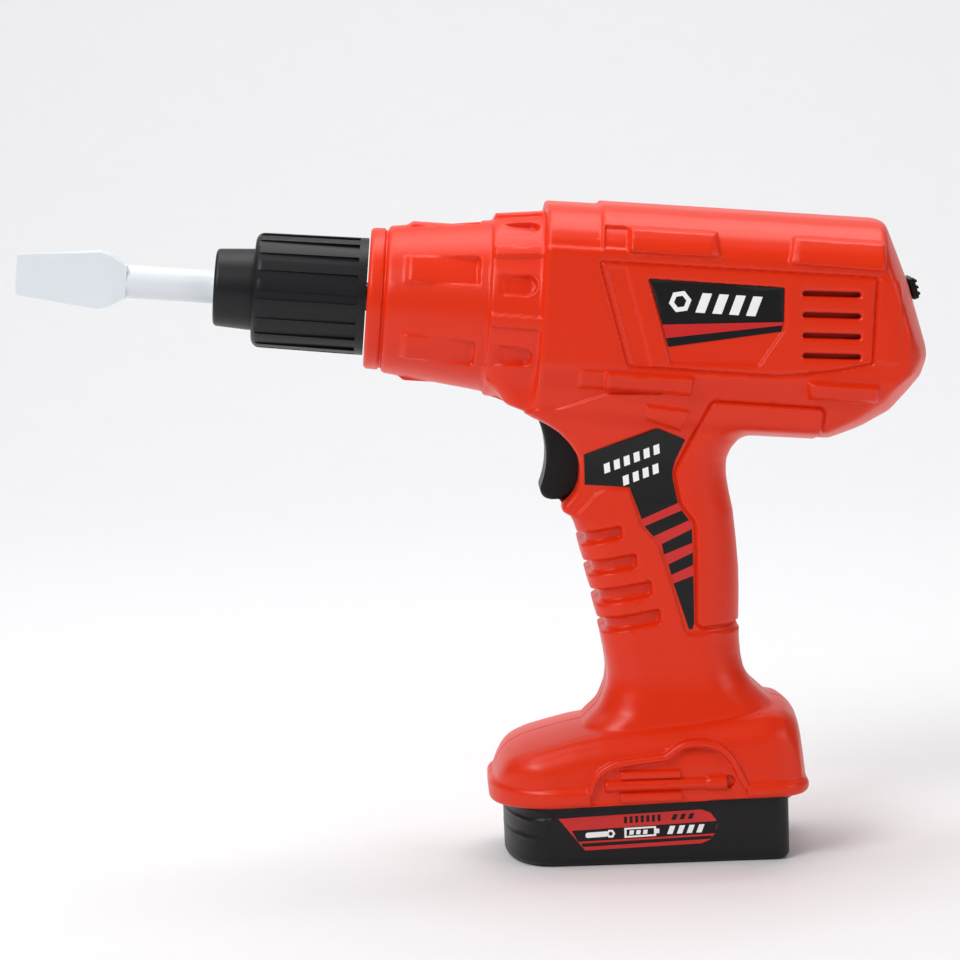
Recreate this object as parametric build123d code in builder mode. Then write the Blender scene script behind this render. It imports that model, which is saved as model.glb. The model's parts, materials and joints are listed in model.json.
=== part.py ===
"""Toy power drill: two moulded shells round a geared motor, a spinning chuck with a push-in bit,
a hinged trigger, a sliding direction knob and a battery case.

Row frame, millimetres: the origin is the centre of the battery case's flat bottom, the chuck
points to -X and +Z is up. The drill axis is pitched nose-up, so most pieces are placed by
(u, v): u runs rearward along the drill axis from the mouth of the shells, v is square to it, up.
"""

from build123d import *
import os
from math import acos, cos, pi, radians, sin, tan

os.makedirs("parts", exist_ok=True)

# ---------------------------------------------------------------- driving dimensions
pitch = 5.5                      # nose-up angle of the drill axis
mouth_x, mouth_z = -72.7, 158.4  # the drill axis where it leaves the shells
wall = 2.2                       # shell thickness
fit = 0.05                       # radial running clearance
gap = 0.3                        # clearance between pieces that only pass each other

# chuck
sleeve_front, sleeve_rear, sleeve_radius = -31.8, -0.6, 16.2
flute_count, flute_width, flute_depth = 18, 2.7, 0.8
nose_front, nose_radius, nose_tail = -42.6, 11.3, -12.0
spindle_radius, spindle_front, spindle_rear = 4.0, -24.0, 45.0

# bit
bit_tip, blade_wide_at, blade_end = -97.6, -73.0, -67.0
blade_half_tip, blade_half_wide, bit_shaft_radius = 5.6, 7.9, 4.6
ring_radius, ring_length = 7.3, 2.0
shank_side, shank_length = 10.4, 12.5

# shells
body_half_width = 28.0
front_ring_radius = 19.6
barrel_front_radius, barrel_rear_radius = 20.3, 23.8
torque_ring_front, torque_ring_rear = 24.8, 26.6
body_front = 47.5
label_depth = 0.6
film = 0.25                      # thickness of the printed labels

# gear train: two equal stages on one centre distance
module_size, gear_teeth, pinion_teeth = 0.5, 36, 12
centre_distance = module_size * (gear_teeth + pinion_teeth) / 2
plate_radius = 19.4
front_plate, rear_plate, plate_thickness = 32.0, 56.0, 2.5
lay_radius = 1.0

# motor
motor_radius, motor_half_flat = 12.1, 9.2
motor_front, motor_rear, motor_skin = 58.6, 86.0, 0.6
motor_shaft_radius = 1.0

# trigger
pin_x, pin_z, pin_radius = -14.0, 128.0, 1.5
trigger_half_width = 8.0

# battery case and cells
case_length, case_width, case_height = 79.0, 48.0, 22.0
case_nose = 12.0                 # length of the half-oval front
case_wall = 1.4
flange_bottom, flange_top = 17.5, 23.2
cell_radius, cell_length, cell_pitch, cell_z = 7.1, 50.0, 14.9, 10.9

# screws
screw_radius, head_radius, head_height = 1.3, 2.6, 2.0
head_seat, screw_tip = 6.0, -8.0
boss_radius = 3.5

# ---------------------------------------------------------------- frames
rearward = Vector(cos(radians(pitch)), 0, -sin(radians(pitch)))
upward = Vector(sin(radians(pitch)), 0, cos(radians(pitch)))
mouth = Vector(mouth_x, 0, mouth_z)
side = Plane(origin=mouth, x_dir=rearward, z_dir=(0, -1, 0))
drill_axis = Axis(mouth, rearward)


def station(u):
    """The plane square to the drill axis at u, with local x along Y and local y upward."""
    return Plane(origin=mouth + rearward * u, x_dir=(0, 1, 0), z_dir=rearward)


def xz(u, v):
    """Row-frame (X, Z) of a point given along the drill axis."""
    point = mouth + rearward * u + upward * v
    return (point.X, point.Z)


def turn(*points, mode=Mode.ADD):
    """Revolve a half profile of (u, radius) points about the drill axis."""
    with BuildSketch(side) as profile:
        with BuildLine():
            Polyline(*points, close=True)
        make_face()
    revolve(profile.sketch, axis=drill_axis, mode=mode)


def rod(u0, u1, radius, v=0.0, mode=Mode.ADD):
    """A round bar along the drill's direction, at height v over its axis."""
    with BuildSketch(station(u0)) as disc:
        with Locations((0, v)):
            Circle(radius)
    extrude(disc.sketch, amount=u1 - u0, mode=mode)


def outline(plane, points, depth, both=True, mode=Mode.ADD):
    """Extrude a closed polygon from a plane."""
    with BuildSketch(plane) as shape:
        with BuildLine():
            Polyline(*points, close=True)
        make_face()
    extrude(shape.sketch, amount=depth, both=both, mode=mode)


def save(part, name):
    """Label a finished piece and write it."""
    part.label = name
    export_step(part, f"parts/{name}.step")


# ---------------------------------------------------------------- gears
def tooth_points(teeth, first_tooth, backlash=0.12, samples=4):
    """The closed outline of an involute gear, with a tooth centred at first_tooth radians."""
    reference = module_size * teeth / 2
    base = reference * cos(radians(20))
    tip = reference + 0.9 * module_size
    root = reference - 1.2 * module_size
    half = pi / (2 * teeth) - backlash / (2 * reference)
    half += tan(radians(20)) - radians(20)
    start = max(base, root)
    flank = [(root, half)] if root < base else []
    for i in range(samples):
        radius = start + (tip - start) * i / (samples - 1)
        pressure = acos(min(1.0, base / radius))
        flank.append((radius, half - (tan(pressure) - pressure)))
    points = []
    for k in range(teeth):
        centre = first_tooth + 2 * pi * k / teeth
        points += [(r * cos(centre - a), r * sin(centre - a)) for r, a in flank]
        points += [(r * cos(centre + a), r * sin(centre + a)) for r, a in reversed(flank)]
    return points


def toothed(u0, u1, teeth, first_tooth, v=0.0):
    """Add a toothed disc between u0 and u1, centred at height v."""
    plane = Plane(origin=station(u0).from_local_coords((0, v, 0)), x_dir=(0, 1, 0), z_dir=rearward)
    outline(plane, tooth_points(teeth, first_tooth), u1 - u0, both=False)


# ---------------------------------------------------------------- the shells' outer shape
body_outline = [
    (body_front, -28.0), (body_front, 29.4), (62.5, 30.0), (62.8, 30.9), (139.7, 31.1), (141.9, 29.3),
    (149.1, 14.3), (155.5, -3.2), (156.0, -6.0), (154.7, -11.4), (151.5, -16.1), (146.9, -22.4),
    (138.9, -27.9), (130.5, -31.8), (105.0, -32.0), (70.0, -30.5),
]
body_section = [
    (28.0, -13.5), (28.0, 18.7), (18.5, 28.0), (12.0, 31.3),
    (-12.0, 31.3), (-18.5, 28.0), (-28.0, 18.7), (-28.0, -13.5), (-19.0, -32.5), (19.0, -32.5),
]
# grip and foot: height, front x, rear x, half width
grip_sections = [
    (134.0, -20.0, 36.0, 18.0), (124.5, -25.5, 31.5, 18.6), (119.0, -19.4, 30.5, 18.4),
    (111.0, -15.8, 25.6, 18.0), (105.0, -16.6, 25.2, 17.8), (99.6, -21.2, 26.4, 17.6),
    (96.0, -18.0, 27.0, 17.4), (84.0, -16.0, 28.2, 17.0), (72.0, -13.2, 28.6, 16.8),
    (58.0, -10.0, 28.3, 16.8), (50.0, -10.4, 30.0, 17.4), (44.0, -14.6, 35.0, 18.6),
    (37.0, -24.0, 44.4, 21.5), (29.0, -38.8, 45.6, 25.6), (20.0, -41.4, 46.0, 27.0),
]
arch_low, arch_high = 97.0, 125.5


def grip_form(inset):
    """The grip and foot: straight-sided bands between rounded sections."""
    with BuildPart() as grip:
        for height, front, rear, half_width in grip_sections:
            with BuildSketch(Plane.XY.offset(height)):
                with Locations(((front + rear) / 2, 0)):
                    RectangleRounded(rear - front - 2 * inset, 2 * (half_width - inset), 9 - inset)
        loft(ruled=True)
    return grip.part


def outer_form(inset):
    """The closed shape of the joined shells, shrunk by inset on every side."""
    grip = grip_form(inset)
    with BuildPart() as form:
        with BuildSketch(side):
            with BuildLine():
                Polyline(*body_outline, close=True)
            make_face()
            if inset:
                offset(amount=-inset, kind=Kind.INTERSECTION)
        extrude(amount=body_half_width, both=True)
        with BuildSketch(station(40)):
            with BuildLine():
                Polyline(*body_section, close=True)
            make_face()
            if inset:
                offset(amount=-inset, kind=Kind.INTERSECTION)
        extrude(amount=125, mode=Mode.INTERSECT)
        turn(
            (inset, 0), (inset, front_ring_radius - inset), (4.2, front_ring_radius - inset),
            (4.3, barrel_front_radius - inset), (33.0, barrel_rear_radius - inset),
            (33.5, torque_ring_front - inset), (body_front, torque_ring_rear - inset),
            (body_front + 6, torque_ring_rear - inset), (body_front + 6, 0),
        )
        add(grip)
        with BuildSketch(Plane.XY.offset(flange_bottom + inset)):
            with Locations((1.4, 0)):
                RectangleRounded(90 - 2 * inset, 2 * (body_half_width - inset), 16 - inset)
        extrude(amount=flange_top - flange_bottom - 2 * inset)
    return form.part


# ---------------------------------------------------------------- shared outlines
label_outline = [(75.2, 12.1), (112.8, 11.9), (113.6, 0.2), (107.4, -10.1), (83.0, -10.9)]
side_label_outline = [(75.9, 11.6), (112.5, 11.5), (112.9, 0.6), (82.0, -6.2)]
grip_label_outline = [
    (-15.4, 114.8), (5.9, 121.5), (13.9, 118.1), (10.0, 109.1), (11.3, 100.1), (14.6, 92.0), (14.8, 79.0),
    (13.7, 64.5), (9.0, 77.5), (6.5, 86.0), (0.6, 95.7), (-3.1, 104.8), (-15.8, 106.7),
]
battery_label_outline = [(-24.8, 14.2), (15.7, 15.3), (19.2, 11.5), (18.1, 7.8), (14.8, 5.4), (-17.7, 4.6)]
vent_u, vent_length, vent_height = 126.0, 15.6, 2.1
vent_heights = (10.8, 5.0, -0.6, -6.1)
boss_points = [
    xz(62.0, 24.0), xz(110.0, 24.6), xz(136.0, 22.0), xz(136.0, -21.0), xz(92.0, -24.0),
    (7.0, 74.0), (8.0, 46.0), (-27.0, 29.0), (38.0, 30.5),
]
knob_plane = Plane(
    origin=mouth + rearward * 149.95 + upward * 12.0,
    x_dir=(0, 1, 0),
    z_dir=(rearward * 17.5 + upward * 6.4).normalized(),
)
knob_travel = 2.0
knob_width, knob_height, stem_width, stem_height = 12.0, 6.0, 6.0, 4.0
slide_depth = wall + 0.9         # the knob's inner plate, below the outer face of the wall


def case_plan(inset):
    """The battery case seen from below: straight sides and a half-oval front."""
    rear = case_length / 2 - inset
    half = case_width / 2 - inset
    shoulder = -case_length / 2 + case_nose
    with BuildLine() as edge:
        upper = Line((shoulder, half), (rear - 4, half))
        corner = RadiusArc(upper @ 1, (rear, half - 4), 4)
        back = Line(corner @ 1, (rear, 4 - half))
        corner2 = RadiusArc(back @ 1, (rear - 4, -half), 4)
        Line(corner2 @ 1, (shoulder, -half))
        EllipticalCenterArc((shoulder, 0), case_nose - inset, half, start_angle=90, arc_size=180)
    make_face(edge.edges())


# ---------------------------------------------------------------- shells
def shell_blank():
    """Both shells still joined, hollow, with bosses, cradles and openings."""
    inside = outer_form(wall)
    envelope = outer_form(0.8)
    with BuildPart() as bosses:
        with BuildSketch(Plane.XZ):
            with Locations(*boss_points):
                Circle(boss_radius)
        extrude(amount=30, both=True)
        with BuildSketch(Plane.XZ):
            with Locations((pin_x, pin_z)):
                Circle(3.2)
        extrude(amount=30, both=True)
        with BuildSketch(Plane.XZ):
            with Locations((pin_x, pin_z)):
                Circle(6)
        extrude(amount=trigger_half_width + gap, both=True, mode=Mode.SUBTRACT)
        for u in (66.0, 82.0):
            for direction in (-1, 1):
                with BuildSketch(station(u)):
                    with Locations((direction * (motor_half_flat + fit + 9), 0)):
                        Rectangle(18, 16)
                extrude(amount=1.8)
        add(envelope, mode=Mode.INTERSECT)
    with BuildPart() as blank:
        add(outside)
        add(inside, mode=Mode.SUBTRACT)
        add(bosses.part)
        rod(-1, 2.4, 7.3, mode=Mode.SUBTRACT)
        with BuildSketch(Plane.XY.offset(flange_bottom - 1)):
            case_plan(-0.15)
        extrude(amount=case_height + gap - flange_bottom + 1, mode=Mode.SUBTRACT)
        with BuildSketch(Plane.XZ):
            with Locations((-23, (arch_low + arch_high) / 2 + 2)):
                Rectangle(26, arch_high - arch_low + 1)
        extrude(amount=trigger_half_width + gap, both=True, mode=Mode.SUBTRACT)
        with BuildSketch(knob_plane.offset(-wall - 1)):
            Rectangle(stem_width + 2 * gap, stem_height + 2 * knob_travel + 2 * gap)
        extrude(amount=wall + 2, mode=Mode.SUBTRACT)
        for direction in (-1, 1):
            face = side.offset(direction * (body_half_width - label_depth))
            outline(face, label_outline, direction * 3, both=False, mode=Mode.SUBTRACT)
            with BuildSketch(side.offset(direction * (body_half_width - wall - 1))):
                with Locations(*[(vent_u, v) for v in vent_heights]):
                    SlotOverall(vent_length, vent_height, rotation=-pitch / 2)
            extrude(amount=direction * 4, mode=Mode.SUBTRACT)
        with BuildSketch(Plane.XZ):
            with Locations((pin_x, pin_z)):
                Circle(pin_radius)
        extrude(amount=trigger_half_width + 4, both=True, mode=Mode.SUBTRACT)
    return blank.part


outside = outer_form(0)
blank_shells = shell_blank()

with BuildPart() as left_shell:
    add(blank_shells)
    split(bisect_by=Plane.XZ, keep=Keep.TOP)
    with BuildSketch(Plane.XZ):
        with Locations(*boss_points):
            Circle(screw_radius)
    extrude(amount=9, mode=Mode.SUBTRACT)
save(left_shell.part, "left_shell")

with BuildPart() as right_shell:
    add(blank_shells)
    split(bisect_by=Plane.XZ, keep=Keep.BOTTOM)
    with BuildSketch(Plane.XZ):
        with Locations(*boss_points):
            Circle(screw_radius + 0.2)
    extrude(amount=-32, mode=Mode.SUBTRACT)
    with BuildSketch(Plane.XZ.offset(-head_seat)):
        with Locations(*boss_points):
            Circle(head_radius + gap)
    extrude(amount=-26, mode=Mode.SUBTRACT)
save(right_shell.part, "right_shell")

with BuildPart() as shell_screws:
    with BuildSketch(Plane.XZ.offset(-head_seat)):
        with Locations(*boss_points):
            Circle(screw_radius)
    extrude(amount=head_seat - screw_tip)
    with BuildSketch(Plane.XZ.offset(-head_seat)):
        with Locations(*boss_points):
            Circle(head_radius)
    extrude(amount=-head_height)
    chamfer(edges().filter_by(GeomType.CIRCLE).group_by(Axis.Y)[-1], 0.6)
    with BuildSketch(Plane.XZ.offset(-head_seat - head_height)):
        with Locations(*boss_points):
            Rectangle(2.6, 0.6)
            Rectangle(0.6, 2.6)
    extrude(amount=1.1, mode=Mode.SUBTRACT)
save(shell_screws.part, "shell_screws")


# ---------------------------------------------------------------- chuck and bit
shank_front = nose_front + 0.3 + ring_length

with BuildPart() as chuck_nose:
    turn(
        (nose_front, 0), (nose_front, nose_radius - 0.6), (nose_front + 10, nose_radius),
        (nose_tail, nose_radius), (nose_tail, 0),
    )
    fillet(edges().filter_by(GeomType.CIRCLE).group_by(Axis.X)[0], 1.2)
    rod(nose_front - 1, shank_front, ring_radius + gap, mode=Mode.SUBTRACT)
    with BuildSketch(station(shank_front - 0.5)):
        Rectangle(shank_side + 0.4, shank_side + 0.4)
    extrude(amount=shank_length + 1.0, mode=Mode.SUBTRACT)
    rod(spindle_front, nose_tail + 1, spindle_radius, mode=Mode.SUBTRACT)
save(chuck_nose.part, "chuck_nose")

with BuildPart() as chuck_sleeve:
    turn(
        (sleeve_front, 0), (sleeve_front, sleeve_radius - 0.3), (sleeve_rear, sleeve_radius + 0.1),
        (sleeve_rear, 0),
    )
    fillet(edges().filter_by(GeomType.CIRCLE).group_by(Axis.X)[0], 2.4)
    with BuildSketch(station(sleeve_front - 1)):
        with PolarLocations(sleeve_radius + 0.4, flute_count):
            Rectangle(2 * flute_depth + 0.6, flute_width)
    extrude(amount=sleeve_rear - sleeve_front - 1.4, mode=Mode.SUBTRACT)
    rod(sleeve_front - 1, nose_tail + gap, nose_radius + 0.02, mode=Mode.SUBTRACT)
    rod(nose_tail, -8.0, spindle_radius, mode=Mode.SUBTRACT)
    rod(-9.0, 1.0, 13.0, mode=Mode.SUBTRACT)
save(chuck_sleeve.part, "chuck_sleeve")

with BuildPart() as output_spindle:
    rod(spindle_front, spindle_rear, spindle_radius)
    rod(-8.9, -7.4, 6.0)
    rod(5.6, 6.8, 6.2)
    chamfer(edges().filter_by(GeomType.CIRCLE).sort_by(Axis.X)[0], 0.5)
save(output_spindle.part, "output_spindle")

with BuildPart() as output_gear:
    toothed(38.5, 42.5, gear_teeth, -pi / 2)
    rod(36.5, 44.0, 6.0)
    with BuildSketch(station(38.0)):
        with PolarLocations(6.9, 6):
            Circle(0.9)
    extrude(amount=5, mode=Mode.SUBTRACT)
    rod(36.0, 45.0, spindle_radius, mode=Mode.SUBTRACT)
save(output_gear.part, "output_gear")

with BuildPart() as flat_bit:
    with BuildSketch(side):
        with BuildLine():
            Polyline(
                (blade_end, bit_shaft_radius), (blade_end - 0.5, bit_shaft_radius),
                (blade_wide_at + 1.2, blade_half_wide - 0.7), (blade_wide_at - 1.5, blade_half_wide),
                (bit_tip, blade_half_tip), (bit_tip, -blade_half_tip),
                (blade_wide_at - 1.5, -blade_half_wide), (blade_wide_at + 1.2, 0.7 - blade_half_wide),
                (blade_end - 0.5, -bit_shaft_radius), (blade_end, -bit_shaft_radius), close=True,
            )
        make_face()
    extrude(amount=bit_shaft_radius, both=True)
    flat = Plane(origin=mouth, x_dir=rearward, z_dir=upward)
    outline(
        flat,
        [(blade_end, 4.6), (blade_end - 4, 4.4), (bit_tip, 1.1), (bit_tip, -1.1), (blade_end - 4, -4.4),
         (blade_end, -4.6)],
        12, mode=Mode.INTERSECT,
    )
    fillet(edges().group_by(Axis.X)[0], 0.5)
    rod(blade_end - 1.0, shank_front - 1.0, bit_shaft_radius)
    rod(shank_front - ring_length, shank_front, ring_radius)
    with BuildSketch(station(shank_front)):
        Rectangle(shank_side, shank_side)
    extrude(amount=shank_length)
    chamfer(faces().sort_by(Axis.X)[-1].edges(), 0.8)
save(flat_bit.part, "flat_bit")


# ---------------------------------------------------------------- gearbox
def gearbox_plate(u, thickness):
    """A round plate with bores for the spindle or motor boss, the lay shaft and four screws."""
    rod(u, u + thickness, plate_radius)
    rod(u - 1, u + thickness + 1, lay_radius + 0.03, v=-centre_distance, mode=Mode.SUBTRACT)
    with BuildSketch(station(u)) as holes:
        with Locations(*post_points):
            Circle(screw_radius)
    extrude(holes.sketch, amount=thickness, mode=Mode.SUBTRACT)


post_radius = 2.4
post_points = [(14.0, 8.0), (-14.0, 8.0), (-14.0, -8.0), (14.0, -8.0)]

with BuildPart() as gearbox_front_plate:
    gearbox_plate(front_plate, plate_thickness)
    rod(front_plate - 1, front_plate, 7.0)
    rod(front_plate - 2, 40, spindle_radius + fit, mode=Mode.SUBTRACT)
save(gearbox_front_plate.part, "gearbox_front_plate")

with BuildPart() as gearbox_rear_plate:
    gearbox_plate(rear_plate, plate_thickness)
    rod(rear_plate - 1, 60, 4.1, mode=Mode.SUBTRACT)
    with BuildSketch(station(rear_plate)):
        with Locations((8, 0), (-8, 0)):
            Circle(1.25)
    extrude(amount=plate_thickness, mode=Mode.SUBTRACT)
save(gearbox_rear_plate.part, "gearbox_rear_plate")

with BuildPart() as gearbox_posts:
    with BuildSketch(station(front_plate + plate_thickness)):
        with Locations(*post_points):
            Circle(post_radius)
            Circle(screw_radius, mode=Mode.SUBTRACT)
    extrude(amount=rear_plate - front_plate - plate_thickness)
save(gearbox_posts.part, "gearbox_posts")

with BuildPart() as gearbox_screws:
    with BuildSketch(station(front_plate + 0.5)):
        with Locations(*post_points):
            Circle(screw_radius)
    extrude(amount=rear_plate + plate_thickness - front_plate - 0.5)
    with BuildSketch(station(rear_plate + plate_thickness)):
        with Locations(*post_points):
            Circle(2.3)
    extrude(amount=1.6)
save(gearbox_screws.part, "gearbox_screws")

with BuildPart() as front_bush:
    rod(0.2, 2.4, 7.2)
    rod(2.4, 5.0, 10.5)
    rod(0.0, 6.0, spindle_radius + fit, mode=Mode.SUBTRACT)
save(front_bush.part, "front_bush")

with BuildPart() as layshaft:
    rod(front_plate + 0.2, rear_plate + plate_thickness - 0.2, lay_radius, v=-centre_distance)
save(layshaft.part, "layshaft")

with BuildPart() as lay_gear:
    toothed(48.5, 52.5, gear_teeth, pi / 2, v=-centre_distance)
    toothed(37.5, 48.5, pinion_teeth, pi / 2 + pi / pinion_teeth, v=-centre_distance)
    rod(52.5, 54.5, 3.0, v=-centre_distance)
    rod(37.0, 55.0, lay_radius, v=-centre_distance, mode=Mode.SUBTRACT)
save(lay_gear.part, "lay_gear")

# ---------------------------------------------------------------- motor
def motor_outline(radius, half_flat):
    """The can's section: a circle with two flats."""
    Circle(radius)
    Rectangle(2 * half_flat, 2 * radius, mode=Mode.INTERSECT)


with BuildPart() as motor_can:
    with BuildSketch(station(motor_front)):
        motor_outline(motor_radius, motor_half_flat)
    extrude(amount=motor_rear - motor_front)
    with BuildSketch(station(motor_front + motor_skin)):
        motor_outline(motor_radius - motor_skin, motor_half_flat - motor_skin)
    extrude(amount=motor_rear - motor_front, mode=Mode.SUBTRACT)
    rod(motor_front - 1.6, motor_front, 4.0)
    rod(motor_front - 3, motor_front + 2, motor_shaft_radius + 0.03, mode=Mode.SUBTRACT)
save(motor_can.part, "motor_can")

with BuildPart() as motor_magnets:
    with BuildSketch(station(motor_front + 5)):
        Circle(11.3)
        Circle(8.6, mode=Mode.SUBTRACT)
        Rectangle(13, 30, mode=Mode.INTERSECT)
    extrude(amount=17)
save(motor_magnets.part, "motor_magnets")

with BuildPart() as motor_end_cap:
    with BuildSketch(station(motor_rear)):
        motor_outline(motor_radius, motor_half_flat)
    extrude(amount=2.2)
    rod(motor_rear + 2.2, motor_rear + 3.8, 3.6)
    rod(motor_rear - 1, motor_rear + 5, motor_shaft_radius + 0.03, mode=Mode.SUBTRACT)
    with BuildSketch(station(motor_rear)):
        with Locations((0, 8), (0, -8)):
            Rectangle(2.6, 0.5)
    extrude(amount=3, mode=Mode.SUBTRACT)
save(motor_end_cap.part, "motor_end_cap")

with BuildPart() as motor_terminals:
    with BuildSketch(station(motor_rear - 3)):
        with Locations((0, 8), (0, -8)):
            Rectangle(2.6, 0.5)
    extrude(amount=9)
save(motor_terminals.part, "motor_terminals")

with BuildPart() as motor_shaft:
    rod(47.8, motor_rear + 4.6, motor_shaft_radius)
save(motor_shaft.part, "motor_shaft")

with BuildPart() as motor_armature:
    rod(motor_front + 6, motor_front + 20, 3.2)
    with BuildSketch(station(motor_front + 7)):
        with PolarLocations(5.4, 3):
            Rectangle(6.0, 2.6)
    extrude(amount=12)
    with BuildSketch(station(motor_front + 7)):
        with PolarLocations(0, 3):
            with BuildLine():
                rim = ThreePointArc(
                    (8.3 * cos(0.75), -8.3 * sin(0.75)), (8.3, 0), (8.3 * cos(0.75), 8.3 * sin(0.75)))
                back = ThreePointArc(
                    (7.3 * cos(0.75), 7.3 * sin(0.75)), (7.3, 0), (7.3 * cos(0.75), -7.3 * sin(0.75)))
                Line(rim @ 1, back @ 0)
                Line(back @ 1, rim @ 0)
            make_face()
    extrude(amount=12)
    rod(motor_front + 5, motor_front + 21, motor_shaft_radius, mode=Mode.SUBTRACT)
save(motor_armature.part, "motor_armature")

with BuildPart() as motor_commutator:
    rod(motor_front + 20.5, motor_front + 25, 2.4)
    rod(motor_front + 20, motor_front + 26, motor_shaft_radius, mode=Mode.SUBTRACT)
save(motor_commutator.part, "motor_commutator")

with BuildPart() as motor_pinion:
    toothed(48.0, 53.0, pinion_teeth, -pi / 2 + pi / pinion_teeth)
    rod(47.0, 54.0, motor_shaft_radius, mode=Mode.SUBTRACT)
save(motor_pinion.part, "motor_pinion")

with BuildPart() as motor_screws:
    with BuildSketch(station(rear_plate)):
        with Locations((8, 0), (-8, 0)):
            Circle(1.25)
    extrude(amount=plate_thickness)
    with BuildSketch(station(rear_plate - 1.4)):
        with Locations((8, 0), (-8, 0)):
            Circle(2.3)
    extrude(amount=1.4)
save(motor_screws.part, "motor_screws")

# ---------------------------------------------------------------- trigger and switch
with BuildPart() as trigger:
    with BuildSketch(Plane.XZ):
        with BuildLine():
            front = ThreePointArc((-27.6, 125.2), (-24.7, 113.6), (-26.4, 104.8))
            chin = ThreePointArc(front @ 1, (-26.2, 102.3), (-24.2, 101.0))
            toe = Line(chin @ 1, (-20.0, 101.0))
            heel = ThreePointArc(toe @ 1, (-18.1, 101.9), (-16.6, 103.8))
            Polyline(heel @ 1, (-10.0, 104.6), (-10.0, 124.0), (-11.4, 130.6), (-16.8, 130.6), front @ 0)
        make_face()
    extrude(amount=trigger_half_width, both=True)
    fillet(edges().filter_by(GeomType.CIRCLE), 1.2)
    with BuildSketch(Plane.XZ):
        with Locations((pin_x, pin_z)):
            Circle(pin_radius + fit)
    extrude(amount=trigger_half_width, both=True, mode=Mode.SUBTRACT)
    with BuildSketch(Plane.YZ.offset(-18)):
        with Locations((0, 113)):
            Rectangle(2 * trigger_half_width - 4, 13)
    extrude(amount=9, mode=Mode.SUBTRACT)
    with BuildSketch(Plane.YZ.offset(-18)):
        with Locations((0, 107.5)):
            Circle(2.0)
    extrude(amount=8.5)
    with BuildSketch(Plane.YZ.offset(-18)):
        with Locations((0, 116.2)):
            Rectangle(2 * trigger_half_width - 3, 4)
    extrude(amount=8.0)
save(trigger.part, "trigger")

with BuildPart() as trigger_pin:
    with BuildSketch(Plane.XZ):
        with Locations((pin_x, pin_z)):
            Circle(pin_radius)
    extrude(amount=trigger_half_width + 3.5, both=True)
save(trigger_pin.part, "trigger_pin")

with BuildPart() as contact_bridge:
    with BuildSketch(Plane.YZ.offset(-10.0)):
        with Locations((0, 116.2)):
            RectangleRounded(13, 3.6, 0.8)
    extrude(amount=0.4)
save(contact_bridge.part, "contact_bridge")

with BuildPart() as switch_block:
    with BuildSketch(Plane.XZ):
        with Locations((6, 112)):
            Rectangle(8, 20)
    extrude(amount=7.5, both=True)
    with BuildSketch(Plane.YZ.offset(2)):
        with Locations((0, 107.5)):
            Circle(1.6)
    extrude(amount=-2.2)
    for y in (-5, 5):
        with BuildSketch(Plane.XZ.offset(-y)):
            with Locations((4.5, 118.3)):
                Rectangle(5.2, 0.4)
        extrude(amount=1.5, both=True, mode=Mode.SUBTRACT)
save(switch_block.part, "switch_block")

with BuildPart() as switch_contacts:
    for y in (-5, 5):
        with BuildSketch(Plane.XZ.offset(-y)):
            with BuildLine():
                Polyline(
                    (-7.4, 114.2), (-7.0, 114.2), (-7.0, 118.1), (7.0, 118.1), (7.0, 118.5),
                    (-7.4, 118.5), close=True,
                )
            make_face()
        extrude(amount=1.5, both=True)
save(switch_contacts.part, "switch_contacts")

with BuildPart() as trigger_spring:
    with BuildLine():
        wire_path = Helix(pitch=2.2, height=10.9, radius=2.5, center=(-9.2, 0, 107.5), direction=(1, 0, 0))
    with BuildSketch(Plane(origin=wire_path @ 0, z_dir=wire_path % 0)):
        Circle(0.25)
    sweep(path=wire_path, is_frenet=True)
save(trigger_spring.part, "trigger_spring")

# ---------------------------------------------------------------- direction switch
with BuildPart() as direction_knob:
    with BuildSketch(knob_plane.offset(gap)):
        RectangleRounded(knob_width, knob_height, 0.8)
    extrude(amount=1.6)
    chamfer(faces().sort_by(Axis.X)[-1].edges(), 0.35)
    with BuildSketch(knob_plane.offset(gap + 1.3)):
        with Locations((0, -1.8), (0, 0), (0, 1.8)):
            Rectangle(knob_width - 2.4, 0.7)
    extrude(amount=0.9)
    with BuildSketch(knob_plane.offset(gap)):
        Rectangle(stem_width, stem_height)
    extrude(amount=-slide_depth - gap)
    with BuildSketch(knob_plane.offset(-slide_depth)):
        Rectangle(14, 13)
    extrude(amount=-1.2)
save(direction_knob.part, "direction_knob")

with BuildPart() as direction_toggle:
    with BuildSketch(knob_plane.offset(-slide_depth - 1.2)):
        Rectangle(3, 3)
    extrude(amount=-3.0)
save(direction_toggle.part, "direction_toggle")

with BuildPart() as direction_switch:
    with BuildSketch(knob_plane.offset(-slide_depth - 2.0)):
        Rectangle(8, 13)
        Rectangle(3.4, 3 + 2 * knob_travel + 0.4, mode=Mode.SUBTRACT)
    extrude(amount=-0.8)
    with BuildSketch(knob_plane.offset(-slide_depth - 2.8)):
        Rectangle(8, 13)
        Rectangle(3.4, 3 + 2 * knob_travel + 0.4, mode=Mode.SUBTRACT)
    extrude(amount=-1.6)
    with BuildSketch(knob_plane.offset(-slide_depth - 4.4)):
        Rectangle(8, 13)
    extrude(amount=-4.0)
save(direction_switch.part, "direction_switch")

# ---------------------------------------------------------------- battery case
door_x0, door_x1, door_half_width, door_thickness = -26.0, 38.2, 21.2, 2.1
tongue_x, door_screw_x = 31.8, 35.4
cell_x0, middle_cell_shift = -21.5, -1.2

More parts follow.
